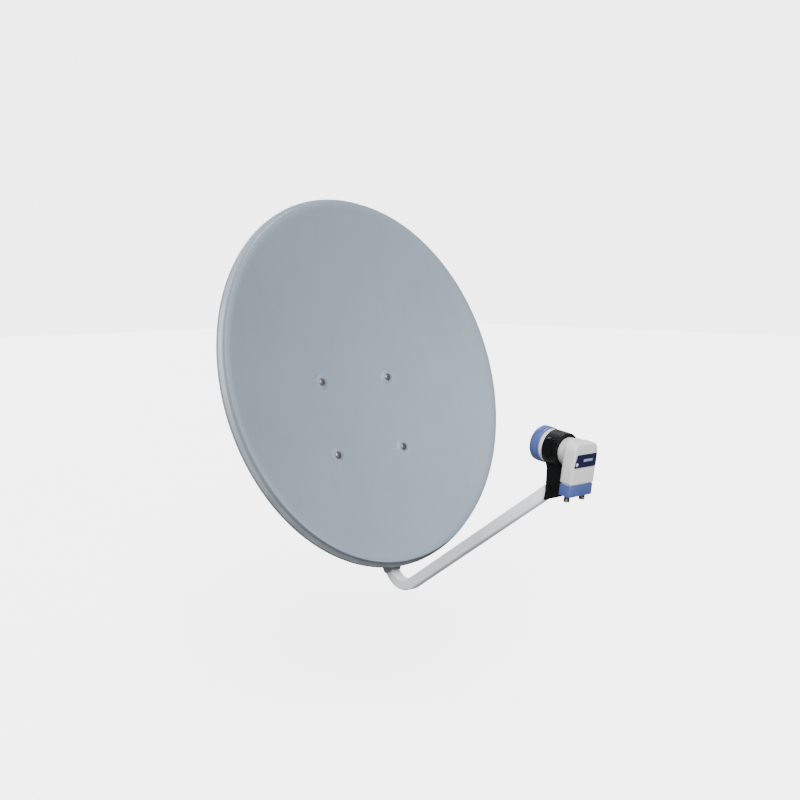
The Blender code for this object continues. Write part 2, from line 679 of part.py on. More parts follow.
# ---- LNB holder ----
def build_lnb_holder(parent):
    """Moulded stalk with the lower half of the clamp ring; the tube's end sits in its socket."""
    ring_from = -CLAMP_TO
    ring_to = -CLAMP_FROM
    bore = NECK_RADIUS + GAP
    middle = (ring_from + ring_to) / 2
    length = ring_to - ring_from
    outline = [
        (ring_to, -0.012), (ring_to, -0.0255), (-0.0285, -0.0330), (-0.0312, -0.0680), (-0.0305, -0.0835),
        (-0.0600, -0.0690),
        (-0.0605, -0.040), (-0.0560, -0.031), (ring_from, -0.028), (ring_from, -0.012),
    ]
    half = 0.0125
    stalk = flat("lnb_holder", [outline], -half, half, "YZ")
    holder = add("lnb_holder", stalk, parent, LOOKS["black_plastic"])
    ring = rod("ring", (0, middle, 0), CLAMP_RADIUS, length - 0.00002, "Y", 40)
    lugs = [box(f"lug_{side}", (side * 0.0245 - 0.0045, middle - 0.006, -0.009),
                (side * 0.0245 + 0.0045, middle + 0.006, -0.0001)) for side in (-1, 1)]
    above = box("above", (-0.04, ring_from - 0.01, -0.0002), (0.04, ring_to + 0.01, 0.04))
    hole = rod("bore", (0, middle, 0), bore, 0.05, "Y", 40)
    pilots = [rod("pilot", (side * 0.0248, middle, -0.004), 0.0018, 0.02, "Z", 10) for side in (-1, 1)]
    tip = into(parent, lower_point(LOWER_LENGTH + GAP))
    run = (into(parent, lower_point(0.0)) - tip).normalized()
    turn = run.to_track_quat("Z", "X").to_matrix().to_4x4()
    side = TUBE / 2 + GAP
    socket = box("socket", (-side, -side, 0.0), (side, side, 0.06))
    socket.transform(Matrix.Translation(tip) @ turn)
    screw = into(parent, lower_point(LOWER_LENGTH - 0.012))
    cross = rod("cross_hole", screw, 0.0024, 0.05, "X", 12)
    shape(holder, [ring] + lugs, [above, hole, socket, cross] + pilots)
    side = half + GAP
    head = (-side, screw.y, screw.z)
    hex_bolt("holder_screw", parent, head, 2 * side + 0.006, 0.0020, "X", 1, LOOKS["black_steel"])
    hex_nut("holder_nut", parent, (side, screw.y, screw.z), 0.0020, "X", 1, LOOKS["black_steel"])


def build_clamp_cap(parent):
    ring_from = -CLAMP_TO
    ring_to = -CLAMP_FROM
    middle = (ring_from + ring_to) / 2
    ring = rod("lnb_clamp_cap", (0, middle, 0), CLAMP_RADIUS, ring_to - ring_from, "Y", 40)
    cap = add("lnb_clamp_cap", ring, parent, LOOKS["black_plastic"])
    lugs = [box(f"lug_{side}", (side * 0.0245 - 0.0045, middle - 0.006, 0.0001),
                (side * 0.0245 + 0.0045, middle + 0.006, LUG_TOP)) for side in (-1, 1)]
    below = box("below", (-0.04, ring_from - 0.01, -0.04), (0.04, ring_to + 0.01, GAP - 0.0002))
    hole = rod("bore", (0, middle, 0), NECK_RADIUS + GAP, 0.05, "Y", 40)
    bolts = [rod("pass", (side * 0.0248, middle, 0.006), 0.0024, 0.04, "Z", 10) for side in (-1, 1)]
    shape(cap, lugs, [below, hole] + bolts)
    for name, side in (("left", -1), ("right", 1)):
        profile = [
            (0.0, 0.0022), (0.0028, 0.0019), (0.0036, 0.0009), (0.0036, 0.0), (0.0015, 0.0),
            (0.0015, -0.0225), (0.0, -0.0225),
        ]
        place = Matrix.Translation((side * 0.0248, middle, LUG_TOP + GAP))
        screw = turned(f"clamp_screw_{name}", profile, place, 12)
        add(f"clamp_screw_{name}", screw, parent, LOOKS["black_steel"], smooth=True)


# ---- LNB ----
def body_outline(inset, bottom):
    low = (-BODY_HALF + inset, bottom)
    high = (BODY_HALF - inset, BODY_TOP - inset)
    return rounded(low, high, (0.004, 0.004, 0.013 - inset, 0.013 - inset), 4)


def build_lnb_housing(parent):
    """Front shell: round boss and neck tube, hollow body open at the back, skirt below."""
    inset = LNB_WALL
    shellbox = flat("lnb_housing", [body_outline(0.0, BODY_BOTTOM)], -BODY_SPLIT, -BODY_FROM, "XZ")
    housing = add("lnb_housing", shellbox, parent, LOOKS["lnb_white"])
    boss_middle = (0, -(BODY_FROM + CLAMP_TO) / 2 - 0.0008, 0)
    boss = rod("boss", boss_middle, BOSS_RADIUS, BODY_FROM - CLAMP_TO, "Y", 40)
    neck_from = 0.0235
    neck_middle = (0, -(neck_from + BODY_FROM) / 2 - 0.001, 0)
    neck = rod("neck", neck_middle, NECK_RADIUS, BODY_FROM - neck_from + 0.002, "Y", 40)
    skirt_half = BODY_HALF - LNB_WALL - GAP - 0.0002
    front = BODY_FROM + LNB_WALL + GAP
    rear = BODY_TO - LNB_WALL - GAP
    skirt_outline = [
        (-front, BODY_BOTTOM + 0.001), (-BODY_SPLIT, BODY_BOTTOM + 0.001), (-BODY_SPLIT, BODY_BOTTOM),
        (-rear, BODY_BOTTOM), (-rear, SKIRT_BOTTOM), (-front, SKIRT_BOTTOM),
    ]
    skirt = flat("skirt", [skirt_outline], -skirt_half, skirt_half, "YZ")
    inside = body_outline(inset, BODY_BOTTOM + inset)
    hollow = flat("hollow", [inside], -BODY_SPLIT - 0.01, -BODY_FROM - inset, "XZ")
    guide = rod("guide", (0, -0.045, 0), 0.0090, 0.06, "Y", 24)
    shape(housing, [boss, neck, skirt], [hollow, guide])


def build_lnb_cover(parent):
    split = BODY_SPLIT + GAP
    shell_block = flat("lnb_cover", [body_outline(0.0, BODY_BOTTOM + GAP)], -BODY_TO, -split, "XZ")
    cover = add("lnb_cover", shell_block, parent, LOOKS["lnb_white"])
    soften(cover, 0.0015)
    inside = body_outline(LNB_WALL, BODY_BOTTOM + LNB_WALL + GAP)
    hollow = flat("hollow", [inside], -BODY_TO + LNB_WALL, -split + 0.01, "XZ")
    shape(cover, cut=[hollow])
    outline = [(-0.0255, -0.0155), (0.0242, -0.0155), (0.0252, -0.0145), (0.0252, 0.0035), (0.0242, 0.0045),
               (-0.0205, 0.0045)]
    film = flat("lnb_label", [outline], -BODY_TO - GAP - 0.0004, -BODY_TO - GAP, "XZ")
    add("lnb_label", film, parent, LOOKS["label_navy"])
    board = box("lnb_board", (-0.0215, -0.0740, -0.0400), (0.0215, -0.0724, 0.0120))
    add("lnb_board", board, parent, LOOKS["board_green"])


def build_feed_horn(parent):
    """White horn ring on the neck's end, its blue cap, and the seal between neck and horn."""
    turn = Matrix.Rotation(math.pi / 2, 4, "X")
    rear = 0.0247
    horn = [
        (0.0245, -0.0040), (HORN_RADIUS - 0.0012, -0.0040), (HORN_RADIUS - 0.0012, -CAP_LENGTH - GAP),
        (HORN_RADIUS, -CAP_LENGTH - GAP), (HORN_RADIUS, -rear + 0.0010), (HORN_RADIUS - 0.0010, -rear),
        (NECK_RADIUS + GAP, -rear), (NECK_RADIUS + GAP, -0.0235 + GAP), (0.0120, -0.0220), (0.0120, -0.0190),
    ]
    horn = [(r, -z) for r, z in horn]
    add("feed_horn", turned("feed_horn", horn, turn, 40), parent, LOOKS["lnb_white"], smooth=True)
    inner = HORN_RADIUS - 0.0012 + GAP
    cap = [
        (0.0, 0.0), (CAP_RADIUS - 0.0022, 0.0002), (CAP_RADIUS - 0.0006, 0.0008), (CAP_RADIUS, 0.0024),
        (CAP_RADIUS, CAP_LENGTH), (inner, CAP_LENGTH), (inner, 0.0033), (inner - 0.002, 0.0020),
        (0.0, 0.0018),
    ]
    add("feed_cap", turned("feed_cap", cap, turn, 40), parent, LOOKS["cap_blue"], smooth=True)


def build_connectors(parent):
    """Two F connectors: hexagon base and threaded barrel."""
    for name, side in (("left", -1), ("right", 1)):
        x = side * CONNECTOR_OFFSET
        top = SKIRT_BOTTOM - GAP
        base = rod("base", (x, -CONNECTOR_DEPTH, top - 0.0015), 0.0063, 0.003, "Z", 6)
        body = add(f"f_connector_{name}", base, parent, LOOKS["nickel"])
        barrel = rod("barrel", (x, -CONNECTOR_DEPTH, top - 0.0075), 0.0047, 0.013, "Z", 16)
        socket = rod("socket", (x, -CONNECTOR_DEPTH, top - 0.0115), 0.0026, 0.010, "Z", 12)
        shape(body, [barrel], [socket])


def build_boot(parent):
    """Blue weather boot: a sleeve with two holes in its floor."""
    half = BODY_HALF
    inner = half - LNB_WALL
    top = BODY_BOTTOM - GAP
    outline = rounded((-half, -BODY_TO), (half, -BODY_FROM), 0.0035)
    boot = add("weather_boot", flat("weather_boot", [outline], BOOT_BOTTOM, top), parent, LOOKS["cap_blue"])
    soften(boot, 0.0012)
    inside = box("inside", (-inner, -BODY_TO + LNB_WALL, BOOT_BOTTOM + LNB_WALL),
                 (inner, -BODY_FROM - LNB_WALL, top + 0.01))
    holes = [rod("exit", (side * CONNECTOR_OFFSET, -CONNECTOR_DEPTH, BOOT_BOTTOM), 0.0075, 0.02, "Z", 20)
             for side in (-1, 1)]
    shape(boot, cut=[inside] + holes)


# ---- assembly ----
clear_scene()
PARTS = new_collection("satellite_dish")
CUTTERS = new_collection("cutters")
LOOKS = {
    "dish_grey": material("dish_grey", (0.42, 0.46, 0.48), 0.45),
    "arm_white": material("arm_white", (0.66, 0.69, 0.68), 0.40),
    "galvanised": material("galvanised", (0.52, 0.54, 0.55), 0.42, 0.85),
    "bracket_grey": material("bracket_grey", (0.20, 0.23, 0.22), 0.50, 0.30),
    "zinc": material("zinc", (0.62, 0.63, 0.64), 0.30, 0.95),
    "black_steel": material("black_steel", (0.020, 0.020, 0.022), 0.35, 0.60),
    "bolt_grey": material("bolt_grey", (0.120, 0.125, 0.130), 0.45, 0.30),
    "black_plastic": material("black_plastic", (0.010, 0.010, 0.011), 0.42),
    "lnb_white": material("lnb_white", (0.66, 0.66, 0.65), 0.48),
    "cap_blue": material("cap_blue", (0.10, 0.20, 0.52), 0.45),
    "label_navy": material("label_navy", (0.020, 0.025, 0.130), 0.35),
    "board_green": material("board_green", (0.02, 0.12, 0.05), 0.50),
    "nickel": material("nickel", (0.55, 0.54, 0.50), 0.28, 1.0),
}

AZIMUTH = empty("azimuth_axis", None, Matrix.Translation((0.0, -MAST_REACH, 0.0)))
ELEVATION = empty("elevation_axis", AZIMUTH, Matrix.Translation(PIVOT + Vector((0.0, MAST_REACH, 0.0))))
DISH = empty("dish_frame", ELEVATION,
             Matrix.Translation(DISH_CENTRE - PIVOT) @ Matrix.Rotation(math.pi / 2 - PLATE_LEAN, 4, "X"))
UPPER = empty("upper_arm", ELEVATION,
              Matrix.Translation(ARM_CORNER - PIVOT) @ Matrix.Rotation(-UPPER_LEAN, 4, "X"))
LNB = empty("lnb_axis", ELEVATION,
            Matrix.Translation(LNB_FRONT - PIVOT) @ Matrix.Rotation(LNB_TILT, 4, "X"))
BOOT = empty("boot_slide", LNB)

build_wall_plate()
build_mast()
build_azimuth_bracket(AZIMUTH)
build_mast_clamps(AZIMUTH)
build_reflector(DISH)
build_back_bracket(DISH)
build_dish_bolts(DISH)
build_elevation_fasteners(ELEVATION)
build_feed_arm(ELEVATION)
build_arm_channel(UPPER)
build_arm_fasteners(ELEVATION)
build_rim_stay(UPPER)
build_lnb_holder(LNB)
build_clamp_cap(LNB)
build_lnb_housing(LNB)
build_lnb_cover(LNB)
build_feed_horn(LNB)
build_connectors(LNB)
build_boot(BOOT)
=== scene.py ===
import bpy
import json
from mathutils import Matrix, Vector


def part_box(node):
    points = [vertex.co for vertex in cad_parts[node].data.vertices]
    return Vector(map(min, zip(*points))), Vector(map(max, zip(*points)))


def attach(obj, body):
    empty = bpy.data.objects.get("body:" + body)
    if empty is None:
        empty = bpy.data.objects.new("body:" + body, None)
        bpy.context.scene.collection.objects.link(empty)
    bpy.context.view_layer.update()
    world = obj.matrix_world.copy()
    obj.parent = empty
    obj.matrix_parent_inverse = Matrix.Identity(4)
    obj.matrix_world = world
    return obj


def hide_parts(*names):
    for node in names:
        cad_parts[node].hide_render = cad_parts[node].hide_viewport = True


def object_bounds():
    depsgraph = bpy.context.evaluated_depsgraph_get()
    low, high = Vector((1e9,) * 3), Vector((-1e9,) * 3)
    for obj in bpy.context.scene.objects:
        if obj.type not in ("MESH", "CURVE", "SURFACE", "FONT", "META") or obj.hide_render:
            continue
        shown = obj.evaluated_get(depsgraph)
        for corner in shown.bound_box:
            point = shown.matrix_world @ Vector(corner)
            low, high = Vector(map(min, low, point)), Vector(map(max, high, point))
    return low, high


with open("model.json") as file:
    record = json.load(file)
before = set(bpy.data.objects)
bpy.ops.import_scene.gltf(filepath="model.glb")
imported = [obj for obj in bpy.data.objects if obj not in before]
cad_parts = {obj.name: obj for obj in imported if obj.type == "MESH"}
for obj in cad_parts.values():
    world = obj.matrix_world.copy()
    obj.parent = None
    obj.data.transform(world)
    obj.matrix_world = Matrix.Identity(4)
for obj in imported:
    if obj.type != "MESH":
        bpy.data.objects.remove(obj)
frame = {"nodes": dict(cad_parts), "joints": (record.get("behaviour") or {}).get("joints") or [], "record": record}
CAD_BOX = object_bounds()

"""The looks of an offset satellite dish on a wall bracket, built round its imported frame.

Metres, +Z up, the wall is the plane Y = 0 and the dish looks towards -Y. Each fine mesh takes its
place from the CAD nodes, the joints or the driving dimensions below, and rides on a CAD body. Most
stand for a CAD node. The weld bead, the LNB's neck and skirt and the connectors' insulators don't.
"""
import json
import math

import bmesh
import bpy
from mathutils import Matrix, Vector

NODES = frame["nodes"]
RECORD = frame["record"]
BODY_OF = {node: body for body, nodes in RECORD["behaviour"]["bodies"].items() for node in nodes}
SLOT_OF = {row["node"]: row["material_slot"] for row in RECORD["subparts"]}
JOINTS = {joint["name"]: joint for joint in frame["joints"]}

# ---- driving dimensions, as in the CAD ----
APERTURE_WIDTH = 0.600
OFFSET_ANGLE = math.radians(21.1)             # between the aperture's normal and the beam
PLATE_LEAN = math.radians(16.7)
DISH_CENTRE = Vector((0.0, -0.250, 0.130))
SHEET = 0.001
DISH_SEGMENTS = 240
PAD_FLAT = 0.0085                             # flat seat pressed round each dish bolt
PAD_EDGE = 0.0165
PAD_SINK = 0.0003
PAD_GROOVE = 0.0006
UPPER_LEAN = math.radians(29.0)
LOWER_RISE = math.radians(33.9)
ARM_CORNER = DISH_CENTRE + Vector((0.0, -0.0701, -0.3768))
UPPER_LENGTH = 0.300
LOWER_LENGTH = 0.4325
ARM_BEND = 0.039
TUBE = 0.019
TUBE_CORNER = 0.0030
TUBE_WALL = 0.0015
MAST_RADIUS = 0.016
MAST_WALL = 0.002
MAST_BEND = 0.045
M4, M6, M8 = 0.0020, 0.0030, 0.0040           # thread radii
LNB_NECK = 0.0200
LNB_BOSS = 0.0215
CLAMP_REAR = -0.0528                          # rear end of the clamp, on the LNB's axis

RADIUS = APERTURE_WIDTH / 2
HALF_HEIGHT = RADIUS / math.cos(OFFSET_ANGLE)
FOCAL = APERTURE_WIDTH / (4 * math.tan(OFFSET_ANGLE))

# ---- frames, from the joints and the driving angles ----
DISH = Matrix.Translation(DISH_CENTRE) @ Matrix.Rotation(math.pi / 2 - PLATE_LEAN, 4, "X")
FEED_AXIS = Vector(JOINTS["lnb_skew"]["axis"])
FEED_TILT = math.atan2(FEED_AXIS.z, FEED_AXIS.y)
LNB = Matrix.Translation(JOINTS["lnb_skew"]["pos_m"]) @ Matrix.Rotation(FEED_TILT, 4, "X")
AXIS_TURN = {                                 # turns +Z to the axis named
    "X": Matrix.Rotation(math.pi / 2, 4, "Y"),
    "-X": Matrix.Rotation(-math.pi / 2, 4, "Y"),
    "-Y": Matrix.Rotation(math.pi / 2, 4, "X"),
    "-Z": Matrix.Rotation(math.pi, 4, "X"),
}


def extent(node, place=Matrix.Identity(4)):
    """Low and high corner of a CAD node, in a frame of its own."""
    inverse = place.inverted()
    points = [inverse @ vert.co for vert in NODES[node].data.vertices]
    low = Vector(min(point[i] for point in points) for i in range(3))
    high = Vector(max(point[i] for point in points) for i in range(3))
    return low, high


# ---- materials ----
DUST = (0.45, 0.43, 0.39)
ZINC_OXIDE = (0.60, 0.61, 0.61)
RUBBED_ZINC = (0.78, 0.79, 0.79)
LABEL_STRIP = (0.36, 0.42, 0.62)
LABEL_DOT = (0.72, 0.72, 0.84)
WHITE = (1.0, 1.0, 1.0, 1.0)


class Look:
    """A Principled material and the small graph that gives it its detail."""

    def __init__(self, name, roughness, metallic=0.0, **settings):
        self.material = bpy.data.materials.new(name)
        self.material.use_nodes = True
        self.tree = self.material.node_tree
        self.shader = self.tree.nodes["Principled BSDF"]
        self.shader.inputs["Roughness"].default_value = roughness
        self.shader.inputs["Metallic"].default_value = metallic
        for socket, value in settings.items():
            self.shader.inputs[socket.replace("_", " ")].default_value = value
        self.place = self.add("ShaderNodeTexCoord").outputs["Object"]
        self.bumps = None

    def add(self, kind, **values):
        made = self.tree.nodes.new(kind)
        for key, value in values.items():
            setattr(made, key, value)
        return made

    def join(self, source, target):
        self.tree.links.new(source, target)

    def stretched(self, scale, turn=(0.0, 0.0, 0.0), shift=(0.0, 0.0, 0.0), kind="POINT"):
        mapping = self.add("ShaderNodeMapping", vector_type=kind)
        mapping.inputs["Scale"].default_value = scale
        mapping.inputs["Rotation"].default_value = turn
        mapping.inputs["Location"].default_value = shift
        self.join(self.place, mapping.inputs["Vector"])
        return mapping.outputs["Vector"]

    def noise(self, scale, detail=3.0, roughness=0.5, place=None, distortion=0.0):
        made = self.add("ShaderNodeTexNoise")
        made.inputs["Scale"].default_value = scale
        made.inputs["Detail"].default_value = detail
        made.inputs["Roughness"].default_value = roughness
        made.inputs["Distortion"].default_value = distortion
        self.join(place or self.place, made.inputs["Vector"])
        return made.outputs["Fac"]

    def cells(self, scale, output="Distance", place=None):
        made = self.add("ShaderNodeTexVoronoi")
        made.inputs["Scale"].default_value = scale
        self.join(place or self.place, made.inputs["Vector"])
        return made.outputs[output]

    def range(self, source, low, high, to_low=0.0, to_high=1.0):
        made = self.add("ShaderNodeMapRange", clamp=True)
        ends = (("From Min", low), ("From Max", high), ("To Min", to_low), ("To Max", to_high))
        for socket, value in ends:
            made.inputs[socket].default_value = value
        self.join(source, made.inputs["Value"])
        return made.outputs["Result"]

    def math(self, operation, a, b):
        made = self.add("ShaderNodeMath", operation=operation)
        for socket, value in zip(made.inputs, (a, b)):
            if isinstance(value, (int, float)):
                socket.default_value = value
            else:
                self.join(value, socket)
        return made.outputs["Value"]

    def mix(self, factor, a, b):
        """Colour mix; each colour is a triple or a socket."""
        made = self.add("ShaderNodeMix", data_type="RGBA")
        self.join(factor, made.inputs["Factor"])
        for socket, value in ((made.inputs[6], a), (made.inputs[7], b)):
            if isinstance(value, tuple):
                socket.default_value = (*value, 1.0)
            else:
                self.join(value, socket)
        return made.outputs[2]

    def colour(self, source):
        self.join(source, self.shader.inputs["Base Color"])

    def rough(self, source, low, high):
        self.join(self.range(source, 0.3, 0.7, low, high), self.shader.inputs["Roughness"])

    def bump(self, source, distance, strength=1.0):
        made = self.add("ShaderNodeBump")
        made.inputs["Distance"].default_value = distance
        made.inputs["Strength"].default_value = strength
        self.join(source, made.inputs["Height"])
        if self.bumps:
            self.join(self.bumps, made.inputs["Normal"])
        self.bumps = made.outputs["Normal"]
        self.join(self.bumps, self.shader.inputs["Normal"])

    def edges(self, low=0.53, high=0.60):
        """High on convex edges."""
        pointed = self.add("ShaderNodeNewGeometry").outputs["Pointiness"]
        return self.range(pointed, low, high)


def shade(colour, factor):
    return tuple(channel * factor for channel in colour)


def powder_coat(name, base, dirt_and_painted_shade, roughness, grain=0.00012, streaks=0.35):
    """Stoved powder coat: orange peel, faint clouding, dust in streaks and specks."""
    look = Look(name, roughness, Coat_Weight=0.05, Coat_Roughness=0.35)
    clouds = look.range(look.noise(5.0, 4.0), 0.30, 0.70)
    body = look.mix(clouds, shade(base, 0.955), shade(base, 1.03))
    run = look.noise(9.0, 5.0, 0.6, look.stretched((6.0, 6.0, 0.55)))
    weather = look.math("MULTIPLY", look.range(run, 0.50, 0.80), streaks)
    body = look.mix(weather, body, dirt_and_painted_shade)
    specks = look.range(look.cells(210.0), 0.10, 0.045)
    chosen = look.range(look.noise(26.0, 2.0), 0.60, 0.68)
    speckled = look.math("MULTIPLY", look.math("MULTIPLY", specks, chosen), 0.55)
    body = look.mix(speckled, body, shade(dirt_and_painted_shade, 0.6))
    body = look.mix(look.math("MULTIPLY", look.edges(), 0.18), body, shade(base, 1.3))
    look.colour(body)
    look.rough(look.noise(34.0, 4.0), roughness - 0.06, roughness + 0.10)
    look.bump(look.noise(520.0, 2.0), grain)
    look.bump(look.noise(95.0, 2.0), grain * 1.6, 0.5)
    return look


def lower_rim_painted_shade(look, dirt_and_painted_shade):
    """Painted shade: a darker grey laid in patches over the lower part of the reflector's stepped rim."""
    body = look.shader.inputs["Base Color"].links[0].from_socket
    lean = math.pi / 2 - PLATE_LEAN
    local = look.stretched((RADIUS, HALF_HEIGHT, 1.0), (lean, 0.0, 0.0), DISH_CENTRE, "TEXTURE")
    split = look.add("ShaderNodeSeparateXYZ")
    look.join(local, split.inputs["Vector"])
    across, up = split.outputs["X"], split.outputs["Y"]
    reach = look.math("ADD", look.math("MULTIPLY", across, across), look.math("MULTIPLY", up, up))
    rim = look.range(reach, 1.040, 1.062)
    low = look.range(up, 0.15, -0.70)
    patches = look.range(look.noise(30.0, 5.0, 0.6), 0.25, 0.60, 0.50, 0.82)
    # painted shade: the rim's colour goes darker towards its bottom, in patches
    grime_and_painted_shade = look.math("MULTIPLY", look.math("MULTIPLY", rim, low), patches)
    look.colour(look.mix(grime_and_painted_shade, body, dirt_and_painted_shade))


def zinc_coat(name, base, spangle, roughness, metallic=0.92):
    """Galvanised steel: crystal spangle, dull oxide clouds, rubbed bright on its edges."""
    look = Look(name, roughness, metallic)
    crystals = look.add("ShaderNodeSeparateColor")
    look.join(look.cells(spangle, "Color"), crystals.inputs["Color"])
    flake = crystals.outputs["Red"]
    body = look.mix(flake, shade(base, 0.80), shade(base, 1.12))
    oxide = look.range(look.noise(16.0, 6.0, 0.62), 0.46, 0.72)
    body = look.mix(look.math("MULTIPLY", oxide, 0.55), body, shade(ZINC_OXIDE, 0.72))
    body = look.mix(look.math("MULTIPLY", look.edges(), 0.45), body, RUBBED_ZINC)
    look.colour(body)
    spread = look.math("ADD", look.math("MULTIPLY", flake, 0.45), look.math("MULTIPLY", oxide, 0.55))
    look.rough(spread, roughness - 0.08, roughness + 0.18)
    look.bump(look.noise(300.0, 3.0), 0.00006)
    look.bump(flake, 0.00003, 0.4)
    return look


def moulded(name, base, roughness, grain=0.00005, fade=0.94, dust=DUST, settled=0.10, spec=0.5):
    """Moulded plastic: fine spark-eroded grain, uneven gloss, a little settled dust."""
    look = Look(name, roughness, Specular_IOR_Level=spec)
    clouds = look.range(look.noise(22.0, 4.0), 0.32, 0.68)
    body = look.mix(clouds, shade(base, fade), shade(base, 1.04))
    grime_and_painted_shade = look.math("MULTIPLY", look.range(look.noise(48.0, 6.0, 0.65), 0.54, 0.78), settled)
    body = look.mix(grime_and_painted_shade, body, dust)
    body = look.mix(look.math("MULTIPLY", look.edges(0.54, 0.62), 0.12), body, shade(base, 1.9))
    look.colour(body)
    look.rough(look.noise(60.0, 4.0), roughness - 0.05, roughness + 0.12)
    look.bump(look.noise(1500.0, 2.0), grain)
    look.bump(look.noise(240.0, 2.0), grain * 0.8, 0.4)
    return look


def brushed(name, base, roughness, tint):
    """Bright plated fasteners: fine turning marks, a thin iridescent cast, dull patches."""
    look = Look(name, roughness, 1.0)
    cast = look.range(look.noise(120.0, 3.0), 0.35, 0.65)
    body = look.mix(cast, base, tint)
    dull = look.range(look.noise(260.0, 5.0, 0.7), 0.52, 0.74)
    body = look.mix(look.math("MULTIPLY", dull, 0.5), body, shade(base, 0.45))
    look.colour(body)
    look.rough(dull, roughness - 0.06, roughness + 0.22)
    look.bump(look.noise(900.0, 2.0, 0.5, look.stretched((6.0, 1.0, 1.0))), 0.00002)
    return look


def printed_label(name, base):
    """Navy film with a plain pale strip and a pale dot, in the label's own plane."""
    look = Look(name, 0.34, Coat_Weight=0.05, Coat_Roughness=0.2, Specular_IOR_Level=0.22)
    low, high = extent("lnb_label", LNB)
    origin = LNB @ ((low + high) / 2)
    local = look.stretched((1.0, 1.0, 1.0), (FEED_TILT, 0.0, 0.0), origin, "TEXTURE")
    split = look.add("ShaderNodeSeparateXYZ")
    look.join(local, split.inputs["Vector"])
    across = split.outputs["X"]
    up = split.outputs["Z"]

    def band(axis, middle, half, soft=0.0003):
        gap = look.math("ABSOLUTE", look.math("SUBTRACT", axis, middle), 0.0)
        return look.range(gap, half + soft, half - soft)

    clouds = look.range(look.noise(70.0, 4.0), 0.35, 0.65)
    body = look.mix(clouds, shade(base, 0.88), shade(base, 1.15))
    strip = look.math("MULTIPLY", band(across, 0.0055, 0.0105), band(up, 0.0006, 0.0019))
    fade = look.range(look.noise(60.0, 3.0), 0.35, 0.65, 0.70, 0.90)
    body = look.mix(look.math("MULTIPLY", strip, fade), body, LABEL_STRIP)
    far = look.add("ShaderNodeVectorMath", operation="DISTANCE")
    look.join(local, far.inputs[0])
    far.inputs[1].default_value = (-0.0195, 0.0, -0.0048)
    dot = look.range(far.outputs["Value"], 0.0030, 0.0025)
    body = look.mix(dot, body, LABEL_DOT)
    look.colour(body)
    look.rough(look.noise(80.0, 3.0), 0.26, 0.42)
    look.bump(look.noise(900.0, 2.0), 0.00001)
    return look


SLOT_LOOKS = {                                # slot: builder and what it is given after the name
    "dish_grey": (powder_coat, (0.240, 0.295, 0.350), (0.150, 0.160, 0.160), 0.42, 0.00005, 0.10),
    "arm_white": (powder_coat, (0.680, 0.720, 0.740), (0.400, 0.400, 0.380), 0.38, 0.00005, 0.16),
    "bracket_grey": (powder_coat, (0.200, 0.235, 0.225), (0.30, 0.30, 0.28), 0.50, 0.00008, 0.30),
    "galvanised": (zinc_coat, (0.56, 0.58, 0.59), 130.0, 0.42),
    "zinc": (brushed, (0.63, 0.64, 0.65), 0.30, (0.66, 0.65, 0.56)),
    "black_steel": (brushed, (0.022, 0.022, 0.024), 0.36, (0.045, 0.045, 0.048)),
    "bolt_grey": (brushed, (0.200, 0.215, 0.225), 0.52, (0.240, 0.250, 0.255)),
    "black_plastic": (moulded, (0.0045, 0.0045, 0.0050), 0.42, 0.00005, 0.85, DUST, 0.010, 0.14),
    "lnb_white": (moulded, (0.74, 0.75, 0.74), 0.44, 0.00004, 0.95, (0.50, 0.48, 0.42), 0.14),
    "cap_blue": (moulded, (0.064, 0.096, 0.310), 0.34, 0.00004, 0.90, (0.20, 0.22, 0.36), 0.12, 0.55),
    "label_navy": (printed_label, (0.005, 0.006, 0.042)),
    "board_green": (moulded, (0.02, 0.12, 0.05), 0.42),
    "nickel": (brushed, (0.42, 0.41, 0.37), 0.28, (0.46, 0.43, 0.34)),
}
LOOKS = {slot: build(slot, *settings) for slot, (build, *settings) in SLOT_LOOKS.items()}
# painted shade: darker grey on the lower part of the dish's stepped rim
lower_rim_painted_shade(LOOKS["dish_grey"], (0.105, 0.105, 0.102))


# ---- mesh helpers ----
def mesh_of(bm, name):
    bmesh.ops.recalc_face_normals(bm, faces=bm.faces)
    mesh = bpy.data.meshes.new(name)
    bm.to_mesh(mesh)
    bm.free()
    return mesh


def piece(name, mesh, nodes=(), body=None, slot=None, smooth=35.0):
    """Show a mesh on a CAD body, in place of CAD nodes where it stands for any."""
    slot = slot or SLOT_OF[nodes[0]]
    made = bpy.data.objects.new(name, mesh)
    bpy.context.scene.collection.objects.link(made)
    mesh.materials.clear()
    mesh.materials.append(LOOKS[slot].material)
    mesh.shade_smooth()
    mesh.set_sharp_from_angle(angle=math.radians(smooth))
    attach(made, body or BODY_OF[nodes[0]])
    if nodes:
        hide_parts(*nodes)
    return made


def softened(node, width, segments=2, clamp=True, merge=2e-6, dissolve=True):
    """The CAD shape itself, its flat faces merged and every edge rounded."""
    bm = bmesh.new()
    bm.from_mesh(NODES[node].data)
    bmesh.ops.remove_doubles(bm, verts=bm.verts, dist=merge)
    if dissolve:
        bmesh.ops.dissolve_limit(bm, angle_limit=math.radians(0.8), verts=bm.verts, edges=bm.edges)
    bevel = piece(f"{node}_fine", mesh_of(bm, f"{node}_fine"), [node]).modifiers.new("edges", "BEVEL")
    bevel.width = width
    bevel.segments = segments
    bevel.limit_method = "ANGLE"
    bevel.angle_limit = math.radians(28.0)
    bevel.use_clamp_overlap = clamp
    bevel.harden_normals = True


def walled(made, thickness):
    """Give an open skin its wall, inward from its faces."""
    wall = made.modifiers.new("wall", "SOLIDIFY")
    wall.thickness = thickness
    wall.offset = -1.0
    return wall


def bridge(bm, first, second):
    """Faces between two rings, either of which may be a single point."""
    count = max(len(first), len(second))
    for i in range(count):
        j = (i + 1) % count
        if len(first) == 1:
            bm.faces.new((first[0], second[i], second[j]))
        elif len(second) == 1:
            bm.faces.new((first[j], first[i], second[0]))
        else:
            bm.faces.new((first[j], first[i], second[i], second[j]))


